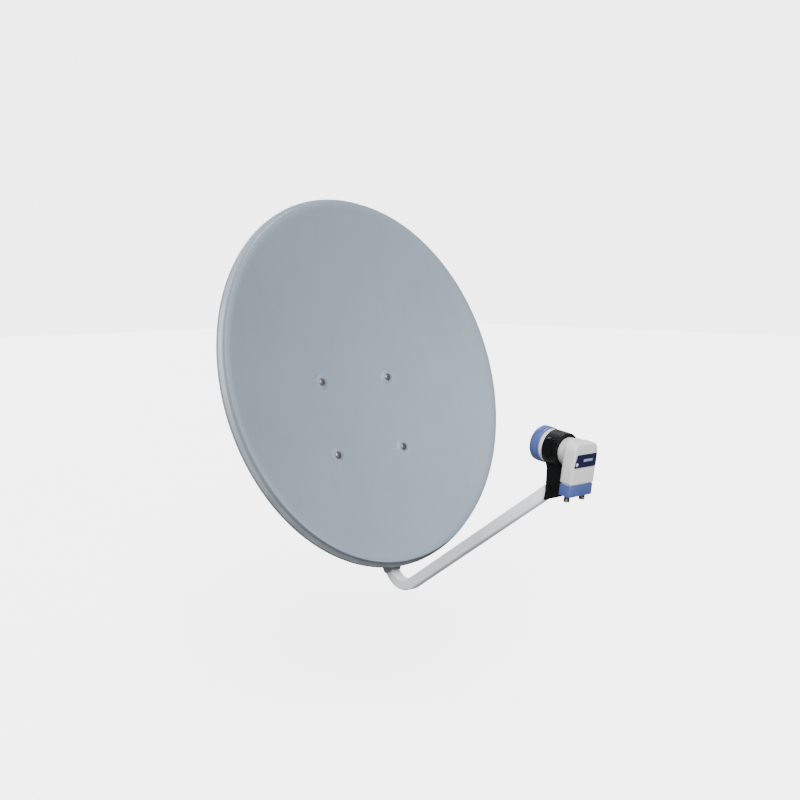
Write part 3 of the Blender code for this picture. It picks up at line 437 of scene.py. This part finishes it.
def lathe(name, profile, place, sides=48, flats=None):
    """Solid of revolution about Z; flats clips it to a hexagon of that width. A closed profile
    that doesn't start on the axis makes a ring."""
    bm = bmesh.new()
    rings = []
    for radius, height in profile:
        if radius < 1e-7:
            rings.append([bm.verts.new(place @ Vector((0.0, 0.0, height)))])
            continue
        ring = []
        for i in range(sides):
            angle = 2 * math.pi * i / sides
            reach = radius
            if flats:
                reach = min(radius, flats / 2 / math.cos(angle % (math.pi / 3) - math.pi / 6))
            point = Vector((reach * math.cos(angle), reach * math.sin(angle), height))
            ring.append(bm.verts.new(place @ point))
        rings.append(ring)
    for first, second in zip(rings, rings[1:]):
        bridge(bm, first, second)
    if len(rings[0]) > 1:
        bridge(bm, rings[-1], rings[0])
    return mesh_of(bm, name)


def arc(centre, radius, start, end, steps):
    """Points of an arc, angles in degrees."""
    points = []
    for step in range(steps + 1):
        angle = math.radians(start + (end - start) * step / steps)
        points.append((centre[0] + radius * math.cos(angle), centre[1] + radius * math.sin(angle)))
    return points


def rounded(low, high, radii, steps=6):
    """Rectangle outline with round corners, radii from the lower left round."""
    corners = (
        ((low[0], low[1]), (1, 1), 180),
        ((high[0], low[1]), (-1, 1), 270),
        ((high[0], high[1]), (-1, -1), 0),
        ((low[0], high[1]), (1, -1), 90),
    )
    points = []
    for (corner, inward, start), radius in zip(corners, radii):
        centre = (corner[0] + inward[0] * radius, corner[1] + inward[1] * radius)
        points += arc(centre, radius, start, start + 90, steps)
    return points


def loft(name, rings, place):
    """Closed skin over rings of equal point counts, each a list of 3-D points."""
    bm = bmesh.new()
    made = [[bm.verts.new(place @ Vector(point)) for point in ring] for ring in rings]
    for first, second in zip(made, made[1:]):
        bridge(bm, first, second)
    bm.faces.new(made[0])
    bm.faces.new(made[-1])
    return mesh_of(bm, name)


def swept(name, path, section, swell=None, capped=True):
    """Section (x, inward) carried along a path in one YZ or XY plane, scaled by swell at each point."""
    bm = bmesh.new()
    rings = []
    normal = (path[1] - path[0]).cross(path[-1] - path[len(path) // 2])
    if normal.length < 1e-9:
        normal = Vector((1.0, 0.0, 0.0))
    normal.normalize()
    for i, point in enumerate(path):
        before = path[max(i - 1, 0)]
        after = path[min(i + 1, len(path) - 1)]
        along = (after - before).normalized()
        side = normal.cross(along)
        grow = swell[i] if swell else 1.0
        rings.append([bm.verts.new(point + normal * a * grow + side * b * grow) for a, b in section])
    for first, second in zip(rings, rings[1:]):
        bridge(bm, first, second)
    if capped:
        bm.faces.new(rings[0])
        bm.faces.new(rings[-1])
    return mesh_of(bm, name)


def plate(name, outlines, thickness, edge, place):
    """Flat plate in XY, centred on its thickness, with holes and rounded edges."""
    curve = bpy.data.curves.new(name, "CURVE")
    curve.dimensions = "2D"
    curve.fill_mode = "BOTH"
    curve.extrude = thickness / 2 - edge
    curve.bevel_depth = edge
    curve.bevel_resolution = 2
    curve.offset = -edge
    for points in outlines:
        spline = curve.splines.new("POLY")
        spline.points.add(len(points) - 1)
        for made, (x, y) in zip(spline.points, points):
            made.co = (x, y, 0.0, 1.0)
        spline.use_cyclic_u = True
    holder = bpy.data.objects.new(name, curve)
    filled = bpy.data.meshes.new_from_object(holder)
    bpy.data.objects.remove(holder)
    bm = bmesh.new()
    bm.from_mesh(filled)
    bmesh.ops.remove_doubles(bm, verts=bm.verts, dist=2e-6)
    bm.transform(place)
    return mesh_of(bm, name)


def thread(radius, start, end, pitch=0.001, depth=0.00032):
    """Profile points of a rolled thread, as close ridges from start to end."""
    count = max(2, int(abs(end - start) / pitch))
    step = (end - start) / count
    points = []
    for i in range(count):
        points.append((radius - depth, start + step * i))
        points.append((radius, start + step * (i + 0.5)))
    return points


# ---- fasteners ----
HEX_CORNER = 1.95                             # corner radius over thread radius
CROWN = 0.47                                  # height of a round head over its radius


def hexagon(radius):
    """Corner radius and half the width across flats, for a thread radius."""
    corner = radius * HEX_CORNER
    return corner, corner * math.cos(math.pi / 6)


def hex_bolt(node, radius, sign):
    """Flanged hexagon bolt along X; its head is at the end that sign points away from."""
    low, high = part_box(node)
    height = radius * 1.3
    head = low.x + height if sign > 0 else high.x - height
    length = high.x - head if sign > 0 else head - low.x
    middle = (low + high) / 2
    place = Matrix.Translation((head, middle.y, middle.z)) @ AXIS_TURN["X" if sign > 0 else "-X"]
    corner, flat = hexagon(radius)
    profile = [
        (0.0, -height * 0.97), (flat * 0.45, -height * 0.97), (flat * 0.55, -height),
        (flat * 0.93, -height), (corner * 1.02, -height * 0.86), (corner * 1.02, -0.0004),
        (corner * 0.98, 0.0), (radius, 0.0), (radius, length * 0.35),
    ]
    profile += thread(radius, length * 0.35 + 0.0002, length - 0.0012)
    profile += [(radius - 0.0004, length - 0.0010), (radius - 0.0009, length), (0.0, length)]
    piece(f"{node}_fine", lathe(node, profile, place, 48, 2 * flat), [node])


def hex_nut(node, radius, axis):
    """Chamfered nut with a washer face; axis points away from what it bears on."""
    place, height = seat_of(node, axis)
    corner, flat = hexagon(radius)
    bore = radius + 0.0001
    profile = [
        (bore, 0.0), (flat * 0.97, 0.0), (flat * 0.98, 0.0003), (corner * 1.01, 0.0007),
        (corner * 1.01, height * 0.86), (flat * 0.93, height), (bore + 0.0005, height),
        (bore, height - 0.0005),
    ]
    piece(f"{node}_fine", lathe(node, profile, place, 48, 2 * flat), [node])


def seat_of(node, axis, frame_place=Matrix.Identity(4)):
    """Matrix on the face a node stands on, +Z along the axis given, and the node's height on it."""
    low, high = extent(node, frame_place)
    middle = (low + high) / 2
    index = "XYZ".index(axis[-1])
    start = high[index] if axis[0] == "-" else low[index]
    middle[index] = start
    return frame_place @ Matrix.Translation(middle) @ AXIS_TURN[axis], high[index] - low[index]


def pan_head(node, frame_place, recess=True):
    """Round-headed screw, or coach bolt without a recess, head outward along the frame's Z."""
    low, high = extent(node, frame_place)
    middle = (low + high) / 2
    top = high.z
    head = (high.x - low.x) / 2
    crown = head * CROWN
    shank = head * 0.44
    seat = top - crown
    place = frame_place @ Matrix.Translation((middle.x, middle.y, seat))
    tail = low.z - seat
    profile = [(0.0, crown * 0.98)]
    if recess:
        profile = [(0.0, crown * 0.30), (head * 0.22, crown * 0.34), (head * 0.30, crown * 0.93)]
    profile += [(head * math.sin(a), crown * math.cos(a) ** 0.8) for a in (0.45, 0.7, 0.95, 1.2, 1.4)]
    profile += [(head, crown * 0.10), (head * 0.985, 0.0), (shank, 0.0), (shank, tail * 0.3)]
    profile += thread(shank, tail * 0.3, tail + 0.0008)
    profile += [(shank * 0.8, tail), (0.0, tail)]
    piece(f"{node}_fine", lathe(node, profile, place, 40), [node])


def build_fasteners():
    hex_bolt("pivot_bolt", M8, 1)
    hex_nut("pivot_nut", M8, "X")
    for side, sign, axis in (("left", -1, "-X"), ("right", 1, "X")):
        hex_bolt(f"lock_bolt_{side}", M6, sign)
        hex_nut(f"lock_nut_{side}", M6, axis)
    for level in ("lower", "upper"):
        hex_bolt(f"arm_bolt_{level}", M6, 1)
        hex_nut(f"arm_nut_{level}", M6, "X")
        for side in ("left", "right"):
            hex_nut(f"u_bolt_nut_{level}_{side}", M6, "-Y")
            spacer(f"arm_spacer_{level}_{side}")
            pan_head(f"dish_bolt_{level}_{side}", DISH, recess=False)
            dish_nut(f"dish_nut_{level}_{side}")
    hex_bolt("holder_screw", M4, 1)
    hex_nut("holder_nut", M4, "X")
    for side in ("left", "right"):
        pan_head(f"clamp_screw_{side}", LNB)


def dish_nut(node):
    """Nut inside a cupped foot, its axis the dish's."""
    place, height = seat_of(node, "-Z", DISH)
    corner, flat = hexagon(M6)
    profile = [
        (M6, 0.0), (flat * 0.98, 0.0002), (corner * 1.01, 0.0007), (corner * 1.01, height * 0.86),
        (flat * 0.93, height), (M6 + 0.0004, height),
    ]
    piece(f"{node}_fine", lathe(node, profile, place, 48, 2 * flat), [node])


def spacer(node):
    """Turned sleeve with broken edges and a shallow groove."""
    place, height = seat_of(node, "X")
    radius, bore = 0.0060, 0.0033
    profile = [
        (bore, 0.0), (radius - 0.0006, 0.0), (radius, 0.0006), (radius, height * 0.42),
        (radius - 0.0004, height * 0.45), (radius - 0.0004, height * 0.55), (radius, height * 0.58),
        (radius, height - 0.0006), (radius - 0.0006, height), (bore, height),
    ]
    piece(f"{node}_fine", lathe(node, profile, place, 40), [node])


# ---- reflector ----
def dish_point(across, along):
    depth = (RADIUS ** 2 - across ** 2 - (along * math.cos(OFFSET_ANGLE)) ** 2) / (4 * FOCAL)
    return Vector((across, along - depth * math.sin(OFFSET_ANGLE), -depth * math.cos(OFFSET_ANGLE)))


def smooth_step(value):
    value = min(max(value, 0.0), 1.0)
    return value * value * (3 - 2 * value)


def rim_profile():
    """Distance outside the reflecting surface and height, for each ring of the pressed rim."""
    lip, step, flange, depth = 0.0074, 0.0092, 0.0150, 0.0170
    curl, hem, draft, fall = 0.0009, 0.0010, 0.0009, 0.0034
    points = [(0.0022, 0.0), (0.0046, 0.0)]
    points += arc((lip - curl, -curl), curl, 90, 4, 4)
    points += arc((lip + 0.0006 + curl, -step + curl), curl, 184, 242, 4)
    points += arc((flange - draft - curl, -step - fall), curl, 62, 2, 4)
    points += arc((flange - hem, -depth + hem), hem, 8, -200, 8)
    return points


def build_reflector():
    """Pressed sheet: offset paraboloid, flat seat at each bolt, stepped rim with a rolled hem."""
    bolts = []
    for level in ("upper", "lower"):
        for side in ("left", "right"):
            low, high = extent(f"dish_bolt_{level}_{side}", DISH)
            head = (high.x - low.x) / 2
            bolts.append(((low.x + high.x) / 2, (low.y + high.y) / 2, high.z - head * CROWN))
    ring_count = 44
    bm = bmesh.new()
    rings = [[bm.verts.new((0.0, 0.0, 0.0))]]
    for ring in range(1, ring_count + 1):
        radius = (ring / ring_count) ** 0.92
        rings.append([])
        for i in range(DISH_SEGMENTS):
            angle = 2 * math.pi * i / DISH_SEGMENTS
            point = (radius * math.cos(angle), radius * math.sin(angle), 0.0)
            rings[-1].append(bm.verts.new(point))
    for first, second in zip(rings, rings[1:]):
        bridge(bm, first, second)

    def near(point, reach):
        spot = dish_point(point.x * RADIUS, point.y * HALF_HEIGHT)
        return min(math.hypot(spot.x - x, spot.y - y) for x, y, _ in bolts) < reach

    reach = PAD_EDGE + 0.004
    close = [edge for edge in bm.edges if near((edge.verts[0].co + edge.verts[1].co) / 2, reach)]
    bmesh.ops.subdivide_edges(bm, edges=close, cuts=4, use_grid_fill=True)
    outer = [vert for vert in bm.verts if vert.is_boundary]
    outer.sort(key=lambda vert: math.atan2(vert.co.y, vert.co.x))
    turns = []
    for vert in outer:
        turns.append(Vector((vert.co.x / RADIUS, vert.co.y / HALF_HEIGHT, 0.0)).normalized())
    for vert in bm.verts:
        point = dish_point(vert.co.x * RADIUS, vert.co.y * HALF_HEIGHT)
        for x, y, seat in bolts:
            away = math.hypot(point.x - x, point.y - y)
            if away < PAD_EDGE:
                share = smooth_step((PAD_EDGE - away) / (PAD_EDGE - PAD_FLAT))
                slope = min(max((away - PAD_FLAT) / (PAD_EDGE - PAD_FLAT), 0.0), 1.0)
                groove = math.sin(math.pi * slope)
                point.z += (seat - PAD_SINK - point.z) * share - PAD_GROOVE * groove
        vert.co = point
    edge = [vert.co.copy() for vert in outer]
    last = outer
    for out, height in rim_profile():
        rise = Vector((0.0, 0.0, height))
        ring = [bm.verts.new(point + turn * out + rise) for point, turn in zip(edge, turns)]
        bridge(bm, last, ring)
        last = ring
    for vert in bm.verts:
        vert.co = DISH @ vert.co
    mesh = mesh_of(bm, "reflector_fine")
    front = min(mesh.polygons, key=lambda face: (face.center - DISH_CENTRE).length)
    if (DISH.to_3x3().inverted() @ front.normal).z < 0:
        mesh.flip_normals()
    dish = piece("reflector_fine", mesh, ["reflector"], smooth=50.0)
    walled(dish, SHEET).use_even_offset = True


# ---- feed arm and mast ----
def bent_path(corner, first, second, bend, start, end, steps):
    """Straight, bend, straight: unit directions leave the corner, lengths are from it."""
    half = first.angle(second) / 2
    reach = bend / math.tan(half)
    centre = corner + (first + second).normalized() * bend / math.sin(half)
    spoke = corner + first * reach - centre
    turn_axis = spoke.cross(corner + second * reach - centre).normalized()
    sweep = math.pi - 2 * half
    path = [corner + first * start, corner + first * (start + reach) / 2]
    for step in range(steps + 1):
        path.append(centre + Matrix.Rotation(sweep * step / steps, 3, turn_axis) @ spoke)
    path += [corner + second * (end + reach) / 2, corner + second * end]
    return path


def build_feed_arm():
    upper = Vector((0.0, math.sin(UPPER_LEAN), math.cos(UPPER_LEAN)))
    lower = Vector((0.0, -math.cos(LOWER_RISE), math.sin(LOWER_RISE)))
    path = bent_path(ARM_CORNER, upper, lower, ARM_BEND, UPPER_LENGTH, LOWER_LENGTH, 28)
    half = TUBE / 2
    section = rounded((-half, -half), (half, half), (TUBE_CORNER,) * 4)
    skin = swept("feed_arm_fine", path, section, capped=False)
    walled(piece("feed_arm_fine", skin, ["feed_arm"], smooth=40.0), TUBE_WALL)
    softened("arm_end_plug", 0.0012, 3)
    softened("arm_channel", 0.0005)
    softened("rim_stay", 0.0004)


def build_mast():
    low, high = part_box("mast_tube")
    axis_y = JOINTS["azimuth"]["pos_m"][1]
    corner = Vector((0.0, axis_y, 0.0))
    path = bent_path(corner, Vector((0.0, 1.0, 0.0)), Vector((0.0, 0.0, 1.0)), MAST_BEND,
                     high.y - axis_y, high.z, 24)
    circle = [(MAST_RADIUS * a, MAST_RADIUS * b) for a, b in arc((0.0, 0.0), 1.0, 0, 352.5, 47)]
    skin = swept("mast_tube_fine", path, circle, capped=False)
    walled(piece("mast_tube_fine", skin, ["mast_tube"]), MAST_WALL)
    build_weld(Vector((0.0, high.y, 0.0)))
    cap_low, cap_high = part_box("mast_cap")
    rise = cap_high.z - high.z
    inner = MAST_RADIUS - MAST_WALL - 0.0004
    foot = cap_low.z - high.z
    profile = [
        (0.0, rise), (MAST_RADIUS * 0.55, rise * 0.93), (MAST_RADIUS * 0.85, rise * 0.70),
        (MAST_RADIUS * 0.97, rise * 0.42), (MAST_RADIUS, rise * 0.22), (MAST_RADIUS, 0.0002),
        (inner, 0.0002), (inner, -0.004), (inner - 0.0005, -0.006), (inner, -0.0062),
        (inner - 0.0010, foot), (0.0, foot),
    ]
    place = Matrix.Translation((0.0, axis_y, high.z + 0.0001))
    piece("mast_cap_fine", lathe("mast_cap_fine", profile, place, 56), ["mast_cap"])
    build_wall_plate()


def build_wall_plate():
    """Square plate with round corners and a screw hole near each of them."""
    low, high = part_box("wall_plate")
    corner, hole, spread = 0.012, 0.0045, 0.040
    outlines = [rounded((low.x, low.z), (high.x, high.z), (corner,) * 4, 10)]
    for across in (-spread, spread):
        for up in (-spread, spread):
            outlines.append(arc((across, up), hole, 350, 0, 35))
    place = Matrix.Translation((0.0, (low.y + high.y) / 2, 0.0)) @ AXIS_TURN["-Y"]
    mesh = plate("wall_plate_fine", outlines, high.y - low.y, 0.0006, place)
    piece("wall_plate_fine", mesh, ["wall_plate"], smooth=40.0)


def build_weld(centre):
    """Fillet bead between mast tube and wall plate, rippled as it was laid."""
    bm = bmesh.new()
    around, across, ripples = 180, 8, 44
    size = 0.0036
    rings = []
    for i in range(around):
        angle = 2 * math.pi * i / around
        swell = 1.0 + 0.10 * math.sin(ripples * angle) + 0.05 * math.sin(5 * angle + 1.3)
        ring = []
        for point in arc((0.0, 0.0), size * swell, 0, 90, across) + [(-0.0008, -0.0008)]:
            reach = MAST_RADIUS + point[0] - 0.0004
            spot = Vector((reach * math.cos(angle), -point[1], reach * math.sin(angle)))
            ring.append(bm.verts.new(centre + spot))
        rings.append(ring)
    for first, second in zip(rings, rings[1:] + rings[:1]):
        bridge(bm, first, second)
    piece("mast_weld", mesh_of(bm, "mast_weld"), body="wall_mount", slot="galvanised", smooth=60.0)


def build_brackets():
    softened("azimuth_bracket", 0.0008)
    softened("back_bracket", 0.0003, clamp=False, merge=1e-4, dissolve=False)
    for level in ("lower", "upper"):
        softened(f"mast_saddle_{level}", 0.0006)
        build_u_bolt(f"u_bolt_{level}")


def build_u_bolt(node):
    """Bent rod with threaded legs."""
    low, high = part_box(node)
    rod = (high.z - low.z) / 2
    bend = (high.x - low.x) / 2 - rod
    height = (high.z + low.z) / 2
    axis_y = high.y - rod - bend
    threaded, rings, root = 0.016, 32, 0.88   # length, thread rings on it, their inner radius
    path = []
    swell = []
    for i in range(rings):
        path.append(Vector((bend, low.y + threaded * i / rings, height)))
        swell.append(1.0 if i % 2 else root)
    for x, y in arc((0.0, axis_y), bend, 0, 180, 28):
        path.append(Vector((x, y, height)))
        swell.append(1.0)
    for i in range(rings, -1, -1):
        path.append(Vector((-bend, low.y + threaded * i / rings, height)))
        swell.append(1.0 if i % 2 else root)
    circle = [(rod * a, rod * b) for a, b in arc((0.0, 0.0), 1.0, 0, 337.5, 15)]
    piece(f"{node}_fine", swept(f"{node}_fine", path, circle, swell), [node])


# ---- LNB and its holder ----
def outline_ring(low, high, radii, inset, depth):
    """Ring of the LNB's body outline at one depth, shrunk by an inset."""
    shrunk = [max(radius - inset, 0.0004) for radius in radii]
    corner_low = (low.x + inset, low.z + inset)
    corner_high = (high.x - inset, high.z - inset)
    return [(x, depth, z) for x, z in rounded(corner_low, corner_high, shrunk)]


def build_lnb_shells():
    """Front and back shell of the LNB, solid, with a seam between them and the boss in front."""
    low, high = extent("lnb_cover", LNB)
    front_low, front_high = extent("lnb_housing", LNB)
    radii = (0.004, 0.004, 0.013, 0.013)
    back, seam = low.y, high.y
    steps = (
        (0.0, 0.0006), (0.00025, 0.0), (0.0050, 0.0), (0.0072, 0.0002), (0.0082, 0.0007), (0.0089, 0.0015),
    )
    rings = [outline_ring(low, high, radii, inset, seam - depth) for depth, inset in steps]
    rings.append(outline_ring(low, high, radii, 0.0026, back + 0.00008))
    rings.append(outline_ring(low, high, radii, 0.0034, back))
    piece("lnb_cover_fine", loft("lnb_cover_fine", rings, LNB), ["lnb_cover"], smooth=50.0)

    split = seam + 0.0003
    face = split + 0.0130
    body_low = Vector((low.x, 0.0, low.z))
    body_high = Vector((high.x, 0.0, high.z))
    steps = (
        (0.0, 0.0006), (0.00025, 0.0), (0.0090, 0.0), (0.0112, 0.0004), (0.0123, 0.0012), (0.0128, 0.0024),
    )
    rings = [outline_ring(body_low, body_high, radii, inset, split + depth) for depth, inset in steps]
    rings.append(outline_ring(body_low, body_high, radii, 0.0040, face))
    piece("lnb_body_fine", loft("lnb_body_fine", rings, LNB), ["lnb_housing"], smooth=50.0)

    mouth = front_high.y
    root = face - 0.0010
    profile = [
        (0.0, mouth), (LNB_NECK - 0.0020, mouth), (LNB_NECK, mouth - 0.0010),
        (LNB_NECK, CLAMP_REAR + 0.0004), (LNB_BOSS - 0.0008, CLAMP_REAR), (LNB_BOSS, CLAMP_REAR - 0.0010),
        (LNB_BOSS, face + 0.0032), (LNB_BOSS + 0.0006, face + 0.0012), (LNB_BOSS + 0.0022, face),
        (LNB_BOSS + 0.0022, root), (0.0, root),
    ]
    place = LNB @ AXIS_TURN["-Y"]
    profile = [(radius, -depth) for radius, depth in profile]
    piece("lnb_neck", lathe("lnb_neck", profile, place, 72), body="lnb", slot="lnb_white", smooth=40.0)
    build_skirt(front_low, low)


def build_skirt(front_low, cover_low):
    """The housing's skirt behind the boot, which shows when the boot slides down."""
    low, high = extent("weather_boot", LNB)
    wall, edge, corner = 0.0026, 0.0006, 0.0015
    rings = []
    for height, extra in ((cover_low.z + edge, 0.0), (front_low.z + edge, 0.0), (front_low.z, edge)):
        inset = wall + extra
        near, far = (low.x + inset, low.y + inset), (high.x - inset, high.y - inset)
        rings.append([(x, y, height) for x, y in rounded(near, far, (corner,) * 4)])
    piece("lnb_skirt", loft("lnb_skirt", rings, LNB), body="lnb", slot="lnb_white")


def build_feed():
    """Cap with its stepped front, and the white horn ring behind it."""
    low, high = extent("feed_cap", LNB)
    radius = (high.x - low.x) / 2
    length = high.y - low.y
    place = LNB @ Matrix.Translation((0.0, high.y, 0.0)) @ AXIS_TURN["-Y"]
    cap = [
        (0.0, 0.0), (radius * 0.30, 0.00005), (radius * 0.31, 0.0004), (radius * 0.36, 0.0004),
        (radius * 0.37, 0.00005), (radius - 0.0030, 0.0002), (radius - 0.0022, 0.0004),
        (radius - 0.0012, 0.0009), (radius - 0.0005, 0.0018), (radius, 0.0034), (radius, length * 0.80),
        (radius - 0.0003, length * 0.82), (radius - 0.0003, length * 0.86), (radius, length * 0.88),
        (radius, length - 0.0005), (radius - 0.0005, length), (radius - 0.0022, length),
        (radius - 0.0022, 0.0030), (0.0, 0.0022),
    ]
    piece("feed_cap_fine", lathe("feed_cap_fine", cap, place, 96), ["feed_cap"], smooth=40.0)

    low, high = extent("feed_horn", LNB)
    radius = (high.x - low.x) / 2
    start = high.y
    rear = start - low.y
    place = LNB @ Matrix.Translation((0.0, start, 0.0)) @ AXIS_TURN["-Y"]
    lip = length - 0.0040 + 0.0003
    horn = [
        (0.0230, 0.0), (radius - 0.0014, 0.0), (radius - 0.0012, 0.0002), (radius - 0.0012, lip),
        (radius - 0.0002, lip), (radius, lip + 0.0003), (radius, rear - 0.0014),
        (radius - 0.0006, rear - 0.0004), (radius - 0.0016, rear), (0.0203, rear),
        (0.0203, rear - 0.0010), (0.0150, rear - 0.0030), (0.0150, 0.0100),
    ]
    piece("feed_horn_fine", lathe("feed_horn_fine", horn, place, 96), ["feed_horn"], smooth=40.0)


def build_holder():
    softened("lnb_holder", 0.0004, 3, clamp=False, merge=6e-5)
    softened("lnb_clamp_cap", 0.0009, 3)
    softened("weather_boot", 0.0006, 3)


def build_connectors():
    """F connectors: hexagon base, threaded barrel, white insulator with its contact hole."""
    for side in ("left", "right"):
        node = f"f_connector_{side}"
        place, length = seat_of(node, "-Z", LNB)
        barrel = 0.0047
        profile = [
            (0.0, 0.0), (0.0061, 0.0), (0.0064, 0.0003), (0.0064, 0.0027), (0.0061, 0.0030), (barrel, 0.0030),
        ]
        profile += thread(barrel, 0.0034, length - 0.0010, 0.0008, 0.00035)
        profile += [(barrel - 0.0004, length - 0.0002), (barrel - 0.0007, length), (0.0028, length)]
        profile += [(0.0026, length - 0.0003), (0.0026, length - 0.0060), (0.0, length - 0.0060)]
        piece(f"{node}_fine", lathe(node, profile, place, 48, 0.0112), [node])
        plug = [
            (0.0, length - 0.0030), (0.0006, length - 0.0030), (0.0006, length - 0.0016),
            (0.0023, length - 0.0016), (0.0025, length - 0.0018), (0.0025, length - 0.0055),
            (0.0, length - 0.0055),
        ]
        mesh = lathe(f"{node}_insulator", plug, place, 32)
        piece(f"{node}_insulator", mesh, body="lnb", slot="lnb_white")


# ---- setting ----
AMBIENT = 0.31                                # surroundings, as they light the dish
BACKDROP = (0.68, 0.73, 0.10)                 # where the white sweep stands, behind the dish
BACKDROP_LEVEL = 0.9
BACKDROP_SEEN = 4.6                           # how bright it looks straight to the camera
FLOOR_SIZE = 14.0
FLOOR_DROP = 0.30                             # below the lowest point of the part
FLOOR_BOUNCE = 0.18
FLOOR_SEEN = 3.4
LAMP_SPREAD = math.radians(38.0)
LAMPS = (                                     # broad soft lamps: name, where from, power
    ("key", (-0.50, -0.62, 0.60), 6.0),
    ("rear", (0.30, 0.85, 0.55), 2.6),
)
CAMERA_PLACE = (-1.38404, -1.82030, 0.31028)
CAMERA_TURN = (math.radians(83.975), 0.0, math.radians(-42.696))
CAMERA_LENS = 53.056
CAMERA_SENSOR = 36.0


def build_world():
    """Even dim surroundings that brighten behind the dish, and look near white to the camera."""
    world = bpy.data.worlds.new("studio")
    world.use_nodes = True
    tree = world.node_tree
    place = tree.nodes.new("ShaderNodeTexCoord")
    facing = tree.nodes.new("ShaderNodeVectorMath")
    facing.operation = "DOT_PRODUCT"
    facing.inputs[1].default_value = Vector(BACKDROP).normalized()
    level = tree.nodes.new("ShaderNodeMapRange")
    level.interpolation_type = "SMOOTHSTEP"
    ends = (("From Min", 0.45), ("From Max", 0.85), ("To Min", AMBIENT), ("To Max", BACKDROP_LEVEL))
    for socket, value in ends:
        level.inputs[socket].default_value = value
    shader = tree.nodes["Background"]
    shader.inputs["Color"].default_value = WHITE
    tree.links.new(place.outputs["Generated"], facing.inputs[0])
    tree.links.new(facing.outputs["Value"], level.inputs["Value"])
    seen = tree.nodes.new("ShaderNodeMix")
    seen.inputs[3].default_value = BACKDROP_SEEN
    path = tree.nodes.new("ShaderNodeLightPath")
    tree.links.new(path.outputs["Is Camera Ray"], seen.inputs["Factor"])
    tree.links.new(level.outputs["Result"], seen.inputs[2])
    tree.links.new(seen.outputs[0], shader.inputs["Strength"])
    bpy.context.scene.world = world


def build_setting():
    """Pale floor, surroundings, a broad key light from the upper left, a weaker one from behind."""
    bm = bmesh.new()
    bmesh.ops.create_grid(bm, x_segments=8, y_segments=8, size=FLOOR_SIZE)
    floor = bpy.data.objects.new("floor", mesh_of(bm, "floor"))
    floor.location = (0.0, 0.0, CAD_BOX[0].z - FLOOR_DROP)
    bpy.context.scene.collection.objects.link(floor)
    look = Look("floor", 0.75)
    seen = look.add("ShaderNodeLightPath").outputs["Is Camera Ray"]
    clouds = look.range(look.noise(0.9, 3.0), 0.3, 0.7)
    pale = look.mix(clouds, (0.90, 0.90, 0.90), (0.93, 0.93, 0.93))
    look.colour(look.mix(seen, (FLOOR_BOUNCE,) * 3, pale))
    look.shader.inputs["Emission Color"].default_value = WHITE
    look.join(look.math("MULTIPLY", seen, FLOOR_SEEN), look.shader.inputs["Emission Strength"])
    look.bump(look.noise(45.0, 3.0), 0.0004)
    floor.data.materials.append(look.material)

    build_world()
    for name, origin, power in LAMPS:
        data = bpy.data.lights.new(name, "SUN")
        data.energy = power
        data.angle = LAMP_SPREAD
        light = bpy.data.objects.new(name, data)
        light.rotation_euler = (-Vector(origin)).to_track_quat("-Z", "Y").to_euler()
        bpy.context.scene.collection.objects.link(light)

    data = bpy.data.cameras.new("camera")
    data.lens = CAMERA_LENS
    data.sensor_width = CAMERA_SENSOR
    camera = bpy.data.objects.new("camera", data)
    camera.location = CAMERA_PLACE
    camera.rotation_euler = CAMERA_TURN
    bpy.context.scene.collection.objects.link(camera)
    bpy.context.scene.camera = camera


build_reflector()
build_feed_arm()
build_mast()
build_brackets()
build_fasteners()
build_lnb_shells()
build_feed()
build_holder()
build_connectors()
for still in ("lnb_label", "lnb_board"):      # shown as the CAD has them, in their own look
    NODES[still].data.materials.clear()
    NODES[still].data.materials.append(LOOKS[SLOT_OF[still]].material)
build_setting()
